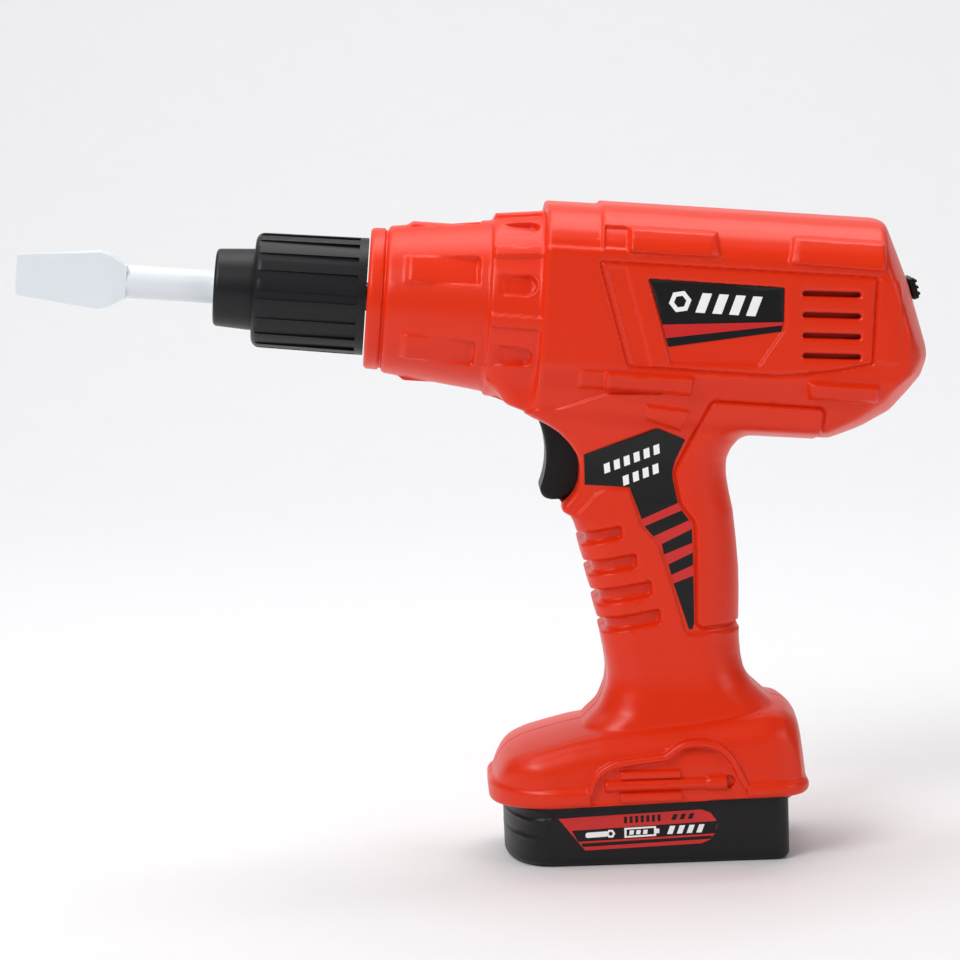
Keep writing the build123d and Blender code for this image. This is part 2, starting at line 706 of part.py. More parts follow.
with BuildPart() as battery_case:
    with BuildSketch():
        case_plan(0)
    extrude(amount=case_height)
    chamfer(edges().group_by(Axis.Z)[0], 0.6)
    with BuildSketch(Plane.XY.offset(2.3)):
        with Locations((2.75, 0)):
            RectangleRounded(63.5, case_width - 2 * case_wall, 3)
    extrude(amount=case_height - 4.1, mode=Mode.SUBTRACT)
    with BuildSketch():
        with Locations(((door_x0 + tongue_x) / 2, 0)):
            RectangleRounded(tongue_x - door_x0 + 0.4, 2 * door_half_width + 0.4, 2)
    extrude(amount=3, mode=Mode.SUBTRACT)
    with BuildSketch():
        with Locations(((tongue_x - 2 + door_x1) / 2, 0)):
            RectangleRounded(door_x1 - tongue_x + 2.4, 10.4, 1.5)
    extrude(amount=door_thickness + 0.2, mode=Mode.SUBTRACT)
    with BuildSketch():
        with Locations((door_screw_x, 0)):
            Circle(screw_radius)
    extrude(amount=6, mode=Mode.SUBTRACT)
save(battery_case.part, "battery_case")

with BuildPart() as battery_door:
    with BuildSketch():
        with Locations(((door_x0 + tongue_x) / 2, 0)):
            RectangleRounded(tongue_x - door_x0, 2 * door_half_width, 1.8)
        with Locations(((tongue_x - 4 + door_x1) / 2, 0)):
            RectangleRounded(door_x1 - tongue_x + 4, 10, 1.3)
    extrude(amount=door_thickness)
    with BuildSketch():
        with Locations((-20, 0), (-15.5, 0), (-11, 0)):
            SlotOverall(20, 2.2, rotation=90)
    extrude(amount=0.8, mode=Mode.SUBTRACT)
    with BuildSketch():
        with Locations((door_screw_x, 0)):
            Circle(screw_radius + 0.2)
    extrude(amount=door_thickness, mode=Mode.SUBTRACT)
    with BuildSketch():
        with Locations((door_screw_x, 0)):
            Circle(head_radius + 0.2)
    extrude(amount=1.5, mode=Mode.SUBTRACT)
save(battery_door.part, "battery_door")

with BuildPart() as battery_door_screw:
    with BuildSketch(Plane.XY.offset(1.5)):
        with Locations((door_screw_x, 0)):
            Circle(screw_radius)
    extrude(amount=3)
    with BuildSketch(Plane.XY.offset(0.3)):
        with Locations((door_screw_x, 0)):
            Circle(head_radius)
    extrude(amount=1.2)
    with BuildSketch(Plane.XY.offset(0.3)):
        with Locations((door_screw_x, 0)):
            Rectangle(2.8, 0.6)
            Rectangle(0.6, 2.8)
    extrude(amount=0.7, mode=Mode.SUBTRACT)
save(battery_door_screw.part, "battery_door_screw")

for index, row in enumerate((-1, 0, 1)):
    turned = 1 if row else -1      # the middle cell lies the other way round
    start = cell_x0 if turned > 0 else cell_x0 + cell_length + middle_cell_shift
    with BuildPart() as cell:
        end = Plane(origin=(start, row * cell_pitch, cell_z), x_dir=(0, 1, 0), z_dir=(turned, 0, 0))
        with BuildSketch(end):
            Circle(cell_radius)
        extrude(amount=cell_length - 1.4)
        fillet(edges().filter_by(GeomType.CIRCLE), 0.5)
        tip = Plane(
            origin=(start + turned * (cell_length - 1.4), row * cell_pitch, cell_z),
            x_dir=(0, 1, 0), z_dir=(turned, 0, 0))
        with BuildSketch(tip):
            Circle(2.7)
        extrude(amount=1.4)
    save(cell.part, f"cell_{index + 1}")

with BuildPart() as battery_springs:
    for row, x, towards in ((-1, -27.7, 1), (1, -27.7, 1), (0, 33.3, -1)):
        with BuildLine():
            turns = Helix(
                pitch=1.7, height=5.0, radius=4.0, cone_angle=-14,
                center=(x, row * cell_pitch, cell_z), direction=(towards, 0, 0),
            )
        with BuildSketch(Plane(origin=turns @ 0, z_dir=turns % 0)):
            Circle(0.4)
        sweep(path=turns, is_frenet=True)
save(battery_springs.part, "battery_springs")

with BuildPart() as battery_plates:
    for x, rows in ((-28.6, (-1, 1)), (34.0, (0,)), (28.7, (-1, 1)), (-22.9, (0,))):
        for row in rows:
            with BuildSketch(Plane.YZ.offset(x - 0.2)):
                with Locations((row * cell_pitch, cell_z)):
                    Rectangle(11, 12)
            extrude(amount=0.4)
save(battery_plates.part, "battery_plates")


# ---------------------------------------------------------------- wires
def wire(points, y, radius=0.7):
    """One insulated wire along a route in the plane at y, its corners rounded."""
    radii = []
    for before, here, after in zip(points, points[1:], points[2:]):
        into = Vector(here[0] - before[0], here[1] - before[1])
        out = Vector(after[0] - here[0], after[1] - here[1])
        half_turn = radians(into.get_angle(out)) / 2
        radii.append(0.45 * min(into.length, out.length) / tan(half_turn))
    with BuildLine(Plane.XZ.offset(-y)):
        route = FilletPolyline(*points, radius=radii)
    with BuildSketch(Plane(origin=route @ 0, z_dir=route % 0)) as section:
        Circle(radius)
    sweep(section.sketch, path=route)


with BuildPart() as wire_supply_red:
    wire([(20, 22.2), (20.5, 45), (17, 68), (17.5, 90), (14.5, 101), (10.5, 108)], 4)
save(wire_supply_red.part, "wire_supply_red")

with BuildPart() as wire_supply_black:
    wire([(26, 22.2), (24.5, 45), (22, 68), (20.5, 92), (20.5, 112), (25, 127), (27, 138), (21, 143)], -4)
save(wire_supply_black.part, "wire_supply_black")

with BuildPart() as wire_switch_yellow:
    wire([(8, 122.2), (8.2, 130), (26, 135), (43, 133), (57, 136), (65, 143)], 6)
save(wire_switch_yellow.part, "wire_switch_yellow")

with BuildPart() as wires_motor:
    wire([(22.2, 158.5), (32, 160), (44, 157), (58, 152), (66, 151)], -2.5)
    wire([(21.0, 142.2), (32, 139), (46, 141), (58, 147), (66, 148)], 2.5)
save(wires_motor.part, "wires_motor")


# ---------------------------------------------------------------- printed labels
def mirrored_labels(plane, points, near, far):
    """A printed film on each side, between the half widths near and far."""
    for direction in (-1, 1):
        outline(plane.offset(direction * near), points, direction * (far - near), both=False)


with BuildPart() as side_labels:
    recess = body_half_width - label_depth
    mirrored_labels(side, side_label_outline, recess, recess + film)
save(side_labels.part, "side_labels")

with BuildPart() as grip_window:
    outline(Plane.XZ, grip_label_outline, 40)
    with BuildSketch(Plane.XZ):
        with Locations((0, 90)):
            Rectangle(90, 90)
    extrude(amount=13, both=True, mode=Mode.SUBTRACT)

grip_film = grip_form(-film)
with BuildPart() as grip_labels:
    add(grip_film)
    add(outside, mode=Mode.SUBTRACT)
    add(grip_window.part, mode=Mode.INTERSECT)
save(grip_labels.part, "grip_labels")

with BuildPart() as battery_labels:
    mirrored_labels(Plane.XZ, battery_label_outline, case_width / 2, case_width / 2 + film)
save(battery_labels.part, "battery_labels")
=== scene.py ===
"""A toy power drill, dressed over its CAD frame.

The two shells and the battery case are grown from distance fields, so that their rounded
edges, raised rails and grooves are real shape; the printed labels are thin films over them.
The drill's own lengths are millimetres until piece() turns them into metres, in the frame's
axes. The studio is in metres.
"""

import json
import math

import bpy
import numpy as np
import openvdb
from mathutils import Matrix, Vector
from mathutils.geometry import delaunay_2d_cdt


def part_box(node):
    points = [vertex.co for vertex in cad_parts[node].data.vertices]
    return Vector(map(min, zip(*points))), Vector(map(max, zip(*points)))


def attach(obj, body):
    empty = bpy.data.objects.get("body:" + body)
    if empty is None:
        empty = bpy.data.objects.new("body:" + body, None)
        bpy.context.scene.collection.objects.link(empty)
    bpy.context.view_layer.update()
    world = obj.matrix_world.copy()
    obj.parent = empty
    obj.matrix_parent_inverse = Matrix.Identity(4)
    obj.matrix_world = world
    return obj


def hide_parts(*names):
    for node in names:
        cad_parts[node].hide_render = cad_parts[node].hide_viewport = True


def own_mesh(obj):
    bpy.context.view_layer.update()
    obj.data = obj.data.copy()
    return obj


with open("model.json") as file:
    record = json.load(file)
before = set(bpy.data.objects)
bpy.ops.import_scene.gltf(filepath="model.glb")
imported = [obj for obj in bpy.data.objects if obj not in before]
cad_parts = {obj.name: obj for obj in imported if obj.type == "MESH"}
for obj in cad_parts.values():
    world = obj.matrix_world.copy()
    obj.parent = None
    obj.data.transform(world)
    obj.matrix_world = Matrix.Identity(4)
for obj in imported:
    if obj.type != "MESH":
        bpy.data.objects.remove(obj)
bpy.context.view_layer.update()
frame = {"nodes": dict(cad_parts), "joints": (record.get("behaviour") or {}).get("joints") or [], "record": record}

MM = 0.001


def box_mm(node):
    """A CAD node's lowest and highest corner in millimetres."""
    low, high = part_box(node)
    return np.array(low) / MM, np.array(high) / MM


# ---------------------------------------------------------------- the drill's own axes
spin = next(joint for joint in frame["joints"] if joint["name"] == "chuck_spin")
mouth = np.array(spin["pos_m"]) / MM
rearward = np.array(spin["axis"])
upward = np.array([-rearward[2], 0.0, rearward[0]])
mouth_x, mouth_z = mouth[0], mouth[2]
wall, least_wall = 2.2, 1.0      # the shells' wall, and what a groove leaves of it
seam = 0.04                      # half the gap along the parting line
outside = 9.0                    # a field's value where there is nothing
lookup_margin = 1.001            # keeps a table lookup inside the last cell


def along(x, z):
    """(u, v) of row-frame points: u rearward from the mouth along the drill axis, v above it."""
    dx, dz = x - mouth_x, z - mouth_z
    return dx * rearward[0] + dz * rearward[2], dx * upward[0] + dz * upward[2]


def across(u, v):
    """Row-frame (x, z) of a point given in the drill's own axes."""
    point = mouth + rearward * u + upward * v
    return float(point[0]), float(point[2])


# ---------------------------------------------------------------- distance field helpers
def ramp(low, high, value):
    """0 below low, 1 above high, smooth in between."""
    t = np.clip((value - low) / (high - low), 0, 1)
    return t * t * (3 - 2 * t)


def polygon(px, pz, points):
    """Signed distance to a closed polygon, negative inside."""
    nearest = np.full(np.broadcast(px, pz).shape, 1e9, np.float32)
    inside = np.zeros(nearest.shape, bool)
    for (ax, az), (bx, bz) in zip(points, points[1:] + points[:1]):
        ex, ez = bx - ax, bz - az
        wx, wz = px - ax, pz - az
        t = np.clip((wx * ex + wz * ez) / (ex * ex + ez * ez), 0, 1)
        nearest = np.minimum(nearest, (wx - t * ex) ** 2 + (wz - t * ez) ** 2)
        crosses = (az > pz) != (bz > pz)
        if ez:
            inside ^= crosses & (px < ax + (pz - az) * ex / ez)
    return np.where(inside, -1, 1) * np.sqrt(nearest)


def polyline(px, pz, points):
    """Distance to an open line of points."""
    nearest = np.full(np.broadcast(px, pz).shape, 1e9, np.float32)
    for (ax, az), (bx, bz) in zip(points, points[1:]):
        ex, ez = bx - ax, bz - az
        wx, wz = px - ax, pz - az
        t = np.clip((wx * ex + wz * ez) / (ex * ex + ez * ez), 0, 1)
        nearest = np.minimum(nearest, (wx - t * ex) ** 2 + (wz - t * ez) ** 2)
    return np.sqrt(nearest)


def rounded(points, radius, steps=5):
    """A closed outline with each corner turned into an arc of about that radius."""
    result = []
    count = len(points)
    for i in range(count):
        here = np.array(points[i], float)
        before = np.array(points[i - 1], float) - here
        after = np.array(points[(i + 1) % count], float) - here
        reach = min(radius, np.hypot(*before) * 0.45, np.hypot(*after) * 0.45)
        start = here + before / np.hypot(*before) * reach
        end = here + after / np.hypot(*after) * reach
        for t in np.linspace(0, 1, steps):
            spot = (1 - t) ** 2 * start + 2 * t * (1 - t) * here + t * t * end
            result.append((float(spot[0]), float(spot[1])))
    return result


def meet(a, b, radius):
    """What is inside both fields, with a rounded edge."""
    edge = np.hypot(np.maximum(a + radius, 0), np.maximum(b + radius, 0))
    return np.minimum(-radius, np.maximum(a, b)) + edge


def merge(a, b, blend):
    """What is inside either field, with a fillet."""
    near = np.maximum(blend - np.abs(a - b), 0) / blend
    return np.minimum(a, b) - near * near * blend / 4


def cut(a, b):
    """Field a with field b taken out of it."""
    return np.maximum(a, -b)


class Section:
    """A closed outline as a table of distances, looked up at any number of points."""

    def __init__(self, points, margin=12.0, pitch=0.25):
        corner = np.min(points, axis=0) - margin
        size = np.ptp(np.array(points), axis=0) + 2 * margin
        self.corner, self.pitch = corner, pitch
        first = (corner[0] + pitch * np.arange(int(size[0] / pitch) + 2)).astype(np.float32)
        second = (corner[1] + pitch * np.arange(int(size[1] / pitch) + 2)).astype(np.float32)
        self.table = polygon(first[:, None], second[None, :], points).astype(np.float32)

    def __call__(self, a, b):
        i = np.clip((a - self.corner[0]) / self.pitch, 0, self.table.shape[0] - lookup_margin)
        j = np.clip((b - self.corner[1]) / self.pitch, 0, self.table.shape[1] - lookup_margin)
        i, j = np.broadcast_arrays(i.astype(np.float32), j.astype(np.float32))
        i0, j0 = i.astype(np.int32), j.astype(np.int32)
        fi, fj = i - i0, j - j0
        low = self.table[i0, j0] * (1 - fj) + self.table[i0, j0 + 1] * fj
        high = self.table[i0 + 1, j0] * (1 - fj) + self.table[i0 + 1, j0 + 1] * fj
        return low * (1 - fi) + high * fi


class Grid:
    """A block of sample points, with X, Y and Z ready to broadcast."""

    def __init__(self, low, high, pitch):
        self.low, self.pitch = np.array(low, float), pitch
        self.axes = [np.arange(a, b + pitch, pitch).astype(np.float32) for a, b in zip(low, high)]
        self.x = self.axes[0][:, None, None]
        self.y = self.axes[1][None, :, None]
        self.z = self.axes[2][None, None, :]

    def slab(self, low, high):
        """The Z layers between two heights, as a slice."""
        first = max(0, int((low - self.low[2]) / self.pitch))
        last = min(len(self.axes[2]), int((high - self.low[2]) / self.pitch) + 2)
        return slice(first, last)


def skin(grid, field, adaptivity):
    """(vertices, faces, normals) of a field's zero surface, in millimetres."""
    volume = openvdb.FloatGrid(outside)
    volume.copyFromArray(np.ascontiguousarray(field))
    points, triangles, quads = volume.convertToPolygons(isovalue=0.0, adaptivity=adaptivity)
    slopes = []
    i = np.clip(points, 0, np.array(field.shape) - lookup_margin)
    i0 = i.astype(int)
    f = i - i0
    for axis in range(3):
        gradient = np.gradient(field, axis=axis)
        total = 0
        for corner in range(8):
            bits = [(corner >> k) & 1 for k in range(3)]
            weight = np.ones(len(points))
            for k in range(3):
                weight = weight * (f[:, k] if bits[k] else 1 - f[:, k])
            total = total + weight * gradient[i0[:, 0] + bits[0], i0[:, 1] + bits[1], i0[:, 2] + bits[2]]
        slopes.append(total)
    normals = np.stack(slopes, axis=1)
    normals /= np.maximum(np.linalg.norm(normals, axis=1, keepdims=True), 1e-6)
    vertices = points * grid.pitch + grid.low
    faces = [tuple(int(v) for v in face) for face in triangles]
    faces += [tuple(int(v) for v in face) for face in quads]
    return vertices, faces, normals


# ---------------------------------------------------------------- pieces
def piece(name, vertices, faces, normals=None, materials=(), face_material=None, mirrored=False):
    """A mesh object from millimetre points, with soft normals if given."""
    vertices = np.array(vertices, float) * MM
    if mirrored:
        vertices = vertices * (1, -1, 1)
        faces = [face[::-1] for face in faces]
    mesh = bpy.data.meshes.new(name)
    mesh.from_pydata([tuple(v) for v in vertices], [], faces)
    for material in materials:
        mesh.materials.append(material)
    if face_material is not None:
        mesh.polygons.foreach_set("material_index", face_material)
    mesh.polygons.foreach_set("use_smooth", [normals is not None] * len(mesh.polygons))
    mesh.validate()
    mesh.update()
    if normals is not None:
        if mirrored:
            normals = normals * (1, -1, 1)
        mesh.normals_split_custom_set_from_vertices([tuple(n) for n in normals])
    obj = bpy.data.objects.new(name, mesh)
    bpy.context.scene.collection.objects.link(obj)
    return obj


# ---------------------------------------------------------------- the shells' outer shape
body_front, side_low, side_high, body_half = 47.5, -13.5, 18.7, 28.0
front_zone = 62.5                # the front of the body is a touch lower up to here
body_outline = [
    (body_front, -29.5), (body_front, 30.0), (62.0, 30.2), (62.6, 31.0), (139.7, 31.2), (141.9, 29.6),
    (149.1, 14.3), (155.6, -3.2), (156.0, -6.0), (154.7, -11.4), (151.5, -16.1), (146.9, -22.0),
    (138.9, -27.2), (130.5, -30.9), (105.0, -31.2), (70.0, -30.0),
]
body_section = [
    (-40.0, -32.5), (17.0, -32.5), (20.6, -29.0), (23.6, -20.6), (28.0, side_low), (28.0, side_high),
    (26.9, 21.2), (24.3, 24.2), (20.8, 26.8), (16.4, 29.0), (10.5, 30.6), (4.0, 31.2), (-40.0, 31.2),
]
barrel_outline = [
    (-0.25, -40.0), (-0.25, 18.9), (0.5, 19.6), (3.7, 19.7), (4.1, 19.0), (4.5, 19.0), (4.9, 20.1),
    (5.6, 20.5), (32.9, 23.8), (33.2, 23.9), (33.4, 24.6), (33.9, 24.9), (47.0, 26.4), (60.0, 26.6),
    (60.0, -40.0),
]
barrel_drop = 0.35               # the nose cone sits this much below the chuck's axis
# the grip and its collar: height, front x, rear x, half width, radius of the front edges
grip_table = np.array([
    (34.0, -17.2, 42.0, 20.6, 12.0), (37.6, -16.6, 41.0, 20.2, 12.0), (39.6, -14.6, 39.6, 19.6, 12.0),
    (41.6, -12.4, 37.6, 18.9, 12.0), (43.6, -11.2, 35.2, 18.3, 11.0), (47.5, -9.7, 31.2, 17.5, 10.5),
    (51.5, -9.0, 28.9, 17.0, 10.0), (55.5, -9.1, 27.8, 16.7, 9.0), (60.0, -9.6, 27.3, 16.5, 8.0),
    (72.9, -12.2, 27.8, 16.8, 8.0), (80.0, -13.8, 27.8, 17.0, 8.0), (88.0, -15.5, 27.3, 17.2, 7.0),
    (93.3, -16.5, 26.8, 17.4, 6.0), (96.4, -17.6, 26.6, 17.5, 4.0), (98.0, -20.4, 26.2, 17.5, 2.2),
    (99.2, -21.4, 26.0, 17.6, 1.8), (100.2, -20.8, 25.8, 17.6, 1.8), (101.3, -19.3, 25.6, 17.6, 1.6),
    (103.8, -17.2, 25.2, 17.7, 1.6), (106.6, -16.1, 24.8, 17.9, 1.6), (110.8, -15.8, 25.0, 18.1, 1.6),
    (113.9, -16.3, 26.4, 18.4, 1.6), (117.4, -18.1, 29.6, 18.8, 1.8), (120.9, -20.9, 35.0, 19.3, 2.0),
    (123.8, -24.9, 42.0, 19.8, 2.5), (125.9, -28.6, 48.0, 20.0, 3.0), (129.0, -36.0, 52.0, 20.2, 4.0),
    (136.0, -40.0, 54.0, 20.4, 4.0),
])
grip_rear_corner = 12.0
# the shoe over the battery: x, height of its top
shoe_table = np.array([
    (-48.0, 6.0), (-44.0, 14.0), (-43.2, 20.5), (-42.0, 24.9), (-40.4, 28.2), (-38.8, 30.4), (-36.4, 32.2),
    (-32.5, 33.8), (-27.3, 35.2), (-20.2, 36.9), (-12.0, 38.2), (12.0, 39.9), (30.0, 41.9), (36.0, 42.6),
    (39.5, 42.2), (42.2, 40.0), (43.9, 37.6), (45.0, 33.0), (45.4, 25.0), (45.8, 16.0), (52.0, 6.0),
])
flange_low, flange_high, flange_front, flange_rear = 17.6, 22.8, -43.5, 45.4


def smooth(table, reach):
    """A table sampled finely, its corners eased over reach."""
    step = 0.25
    at = np.arange(table[0, 0], table[-1, 0] + step, step)
    count = int(reach / step)
    weights = np.hanning(2 * count + 3)
    weights /= weights.sum()
    columns = [at]
    for k in range(1, table.shape[1]):
        values = np.interp(at, table[:, 0], table[:, k])
        values = np.pad(values, count + 1, mode="reflect", reflect_type="odd")
        columns.append(np.convolve(values, weights, "valid"))
    return np.stack(columns, axis=1)


def block(x, y, low_x, high_x, half_y, corner):
    """Distance to an upright block with rounded corners."""
    qx = np.abs(x - (low_x + high_x) / 2) - ((high_x - low_x) / 2 - corner)
    qy = np.abs(y) - (half_y - corner)
    return np.hypot(np.maximum(qx, 0), np.maximum(qy, 0)) + np.minimum(np.maximum(qx, qy), 0) - corner


def body_field(x, y, z):
    """The motor housing: its side view and its section, with a rounded edge between them."""
    u, v = along(x, z)
    bow = 0.0075 * y * y             # the rear and the underside are gently crowned
    profile = Section(rounded(body_outline, 1.2))(u + bow * ramp(100, 140, u), v - bow * ramp(-2, -22, v))
    lowered = 0.9 * (1 - ramp(front_zone - 0.3, front_zone + 0.3, u))
    lowered = lowered * ramp(side_high - 0.5, side_high + 1.0, v)
    shape = Section(rounded(body_section, 1.4))(y, v) + lowered
    field = meet(shape, profile, 1.4)
    corner = (u - 148.6 + y - 27.6) * math.sqrt(0.5)
    return meet(field, corner, 0.8)


def barrel_field(x, y, z):
    """The nose cone with its six pads and the torque ring with its bars and notches."""
    u, v = along(x, z)
    v = v + barrel_drop
    radius = np.hypot(y, v)
    angle = np.degrees(np.arctan2(v, y))
    field = Section(barrel_outline)(u, radius)

    pad_turn = np.abs((angle + 1.6) % 60 - 30) * radius * math.pi / 180
    pad_level = 22.15
    cone = 20.5 + (u - 5.6) * (23.8 - 20.5) / 27.1
    pad = ramp(9.2, 11.6, u) * (1 - ramp(29.7, 30.1, u)) * (1 - ramp(3.8, 4.2, pad_turn))
    field = field - pad * np.clip(pad_level - cone, -1.3, 1.2)

    ring_angle = angle + 4.5
    bar_turn = np.abs((ring_angle + 22.5) % 45 - 22.5) * radius * math.pi / 180
    bar = ramp(33.5, 33.9, u) * (1 - ramp(1.55, 1.95, bar_turn)) * (1 - ramp(47.0, 48.0, u))
    field = field - 0.9 * bar

    notch_turn = np.abs(ring_angle % 45 - 22.5) * radius * math.pi / 180
    notch = np.hypot(np.maximum(u - 43.0, 0), notch_turn) - 2.7
    rim = 1 - ramp(0.0, 0.5, np.abs(notch - 0.3))
    notch = (1 - ramp(-0.3, 0.15, notch)) * ramp(35.0, 38.0, u)
    ring = 24.9 + (u - 34.2) * 1.5 / 12.8
    return field + notch * np.clip(ring - 24.55, 0, 1.5) - 0.15 * rim * ramp(36.0, 40.0, u)


def grip_field(x, y, z):
    """The grip, flaring into the housing above and into a collar below."""
    heights = z[0, 0, :]
    table = smooth(grip_table, 1.4)
    front, rear, half, corner = (
        np.interp(heights, table[:, 0], table[:, k])[None, None, :] for k in (1, 2, 3, 4)
    )
    ahead = block(x, y, front, rear + 40, half, corner)
    behind = block(x, y, front - 40, rear, half, grip_rear_corner)
    return np.maximum(ahead, behind)


def shoe_field(x, y, z):
    """The rounded shoe over the battery and the lip round its foot."""
    xs = x[:, 0, 0]
    table = smooth(shoe_table, 2.0)
    top = np.interp(xs, table[:, 0], table[:, 1])
    slope = np.gradient(top, xs)
    over = ((z - top[:, None, None]) / np.hypot(1, np.clip(slope, -6, 6))[:, None, None]).astype(np.float32)
    over = over + 0.004 * y * y
    base = flange_low + 0.02 * x        # the lip thins towards the rear
    sides = block(x, y, -48.0, 52.0, 27.0, 20.0) + 0.10 * np.maximum(z - flange_high, 0)
    shoe = meet(over, sides, 6.0)
    ends = foot_plan(x, y, -42.8, 45.3, 27.4, 19.0, 9.0)
    shoe = meet(shoe, ends, 1.0)
    shoe = np.maximum(shoe, base + 2.4 - z)
    rise = 0.8 * ramp(-30, -42, x)
    lip = foot_plan(x, y, flange_front, flange_rear, body_half, 20.0, 9.0)
    lip = meet(lip, np.maximum(base - z, z - flange_high - rise), 2.0)
    return np.minimum(shoe, lip)


def foot_plan(x, y, front, rear, half, front_corner, rear_corner):
    """The foot seen from above: well-rounded in front, squarer behind."""
    ahead = block(x, y, front, rear + 40, half, front_corner)
    behind = block(x, y, front - 40, rear, half, rear_corner)
    return np.maximum(ahead, behind)


# ---------------------------------------------------------------- raised and sunk detail
def ridge(distance, height, slope=0.5):
    """Raised by height inside an outline, with sides as wide as slope."""
    return height * (1 - ramp(-slope, 0.0, distance))


panel_outline = rounded([
    (62.2, 15.6), (137.7, 16.0), (138.2, -7.4), (129.0, -9.9), (120.7, -11.4), (112.0, -12.4), (71.8, -12.4),
], 0.8)
stripe_outline = [(63.6, 14.7), (69.3, 14.9), (78.2, -11.8), (72.7, -11.8)]
recess_outline = rounded([(75.2, 12.1), (112.8, 11.9), (113.6, 0.2), (107.4, -10.1), (83.2, -11.0)], 0.6)
vent_rows = [10.8, 5.0, -0.6, -6.1]
vent_u, vent_half, vent_radius = 125.6, 7.2, 0.72
back_seam = [
    across(126.2, -33.5), across(126.8, -22.0), across(125.6, -20.8), across(96.8, -20.8),
    across(95.4, -21.4), (10.2, 109.0), (10.3, 106.9), (11.6, 100.0), (12.8, 98.0), (15.1, 94.9),
    (15.7, 93.0), (15.4, 66.0), (16.6, 64.6), (29.5, 65.2),
]
rear_panel = back_seam + [(60.0, 64.6), (90.0, 120.0)]
front_pad = rounded([
    (-40.0, 95.0), (-18.4, 96.6), (-14.6, 100.2), (-12.1, 103.1), (-9.5, 104.6), (-2.6, 104.8), (0.6, 94.2),
    (5.2, 88.8), (8.4, 78.4), (12.4, 63.5), (15.4, 63.2), (60.0, 64.6), (60.0, 30.0), (-50.0, 30.0),
], 0.9)
belly_outline = [
    (-32.0, 126.6), (-27.4, 127.9), (-22.0, 127.9), (-18.1, 128.9), (-8.3, 132.0), (30.0, 131.0),
    (30.0, 90.0), (-32.0, 90.0),
]
groove_rows = [(92.4, -4.7, 3.6), (84.3, -0.8, 4.0), (76.4, 3.2, 4.2), (68.5, 5.4, 4.0)]
groove_slope = math.tan(math.radians(9.0))


def vent_slot(u, v, row):
    """Distance to one of the ventilation slots in the side view."""
    along_slot = u - vent_u - 0.08 * (vent_rows[0] - row)
    level = row + 0.036 * along_slot
    return np.hypot(np.maximum(np.abs(along_slot) - vent_half, 0), v - level) - vent_radius


def rails(u, v):
    """The four square-edged rails and the steps beside them."""
    height = np.zeros(np.broadcast(u, v).shape, np.float32)
    for outline, low_end, lift in (
        ([(69.6, 18.4), (69.6, 25.6), (93.6, 25.6), (95.2, 18.4)], (97.0, 92.0), 1.5),
        ([(113.0, 18.0), (114.2, 25.8), (139.8, 25.8), (140.0, 17.6)], (110.5, 116.0), 1.5),
        ([(65.7, -19.4), (65.7, -13.9), (90.2, -13.9), (90.0, -19.4)], (92.0, 88.6), 1.9),
        ([(121.6, -18.3), (120.4, -13.3), (140.6, -13.3), (140.6, -18.3)], (119.2, 122.6), 1.9),
    ):
        end = (low_end[0] - u) / (low_end[0] - low_end[1])
        body = ridge(polygon(u, v, outline), lift, 0.7)
        height = np.maximum(height, body * np.clip(end, 0, 1))
    step = ridge(polygon(u, v, [(58.6, -19.2), (58.6, -13.9), (66.5, -13.9), (66.5, -19.2)]), 0.7, 0.5)
    height = np.maximum(height, step)
    pocket = ridge(polygon(u, v, [(62.9, 19.2), (62.9, 25.2), (69.7, 25.2), (69.7, 19.2)]), 0.7, 0.4)
    return height - pocket


def side_relief(u, v):
    """Detail on the sides of the housing, raised above the plain shape."""
    height = rails(u, v)
    panel = polygon(u, v, panel_outline)
    height -= 0.8 * (1 - ramp(0.12, 0.5, np.abs(panel)))
    height -= ridge(polygon(u, v, stripe_outline), 0.45, 0.3)
    height -= ridge(polygon(u, v, recess_outline), 0.8, 0.35)
    edge = polygon(u, v, [(138.2, 15.9), (138.6, -7.2), (145.6, -7.2), (145.0, 15.9)])
    height += ridge(edge, 0.35, 0.4)
    for row in vent_rows:
        height -= 0.5 * (1 - ramp(0.0, 0.8, vent_slot(u, v, row)))
    facet = polygon(u, v, [along(*p) for p in [(1.8, 128.4), (2.4, 123.9), (12.0, 120.2), (14.8, 126.1)]])
    height += ridge(facet, 0.9, 0.5)
    return height


def grip_relief(x, z):
    """Detail on the grip: the rear panel and its seam, the finger pad with its grooves, the belly."""
    seam_gap = polyline(x, z, back_seam)
    height = -0.75 * (1 - ramp(0.12, 0.5, seam_gap))
    pad = polygon(x, z, front_pad)
    height += ridge(pad, 0.7, 0.35) * ramp(47.0, 60.0, z)
    height += ridge(polygon(x, z, rear_panel), 0.45, 0.3)
    height += ridge(polygon(x, z, belly_outline), 0.9, 0.6) * ramp(16.0, 8.0, x) * ramp(112.0, 125.0, z)
    for level, end, tall in groove_rows:
        row = level + (x - end) * groove_slope
        qx = np.maximum(x - end + 1.0, 0)
        qz = np.maximum(np.abs(z - row) - (tall / 2 - 1.0), 0)
        groove = np.hypot(qx, qz) - 1.0
        height -= 2.0 * (1 - ramp(-0.55, 0.25, groove))
    return height


def pocket_shape(x, z):
    """The clip moulded into the shoe: distances to its outline and to the line of its rim."""
    arch = [
        (-15.9, 18.0), (-15.9, 21.5), (-15.2, 24.0), (-13.5, 26.6), (-9.7, 29.0), (-2.0, 30.0),
        (5.3, 30.7), (6.9, 32.0), (10.1, 34.1), (15.8, 34.5), (20.8, 32.8), (23.9, 29.1), (25.7, 25.2),
        (27.5, 21.2), (27.6, 18.0),
    ]
    rim_start = 21.4
    inside = polygon(x, z, arch)
    curve = rounded(arch, 2.2)
    rim = polyline(x, z, [point for point in curve if point[1] > rim_start])
    return inside, rim


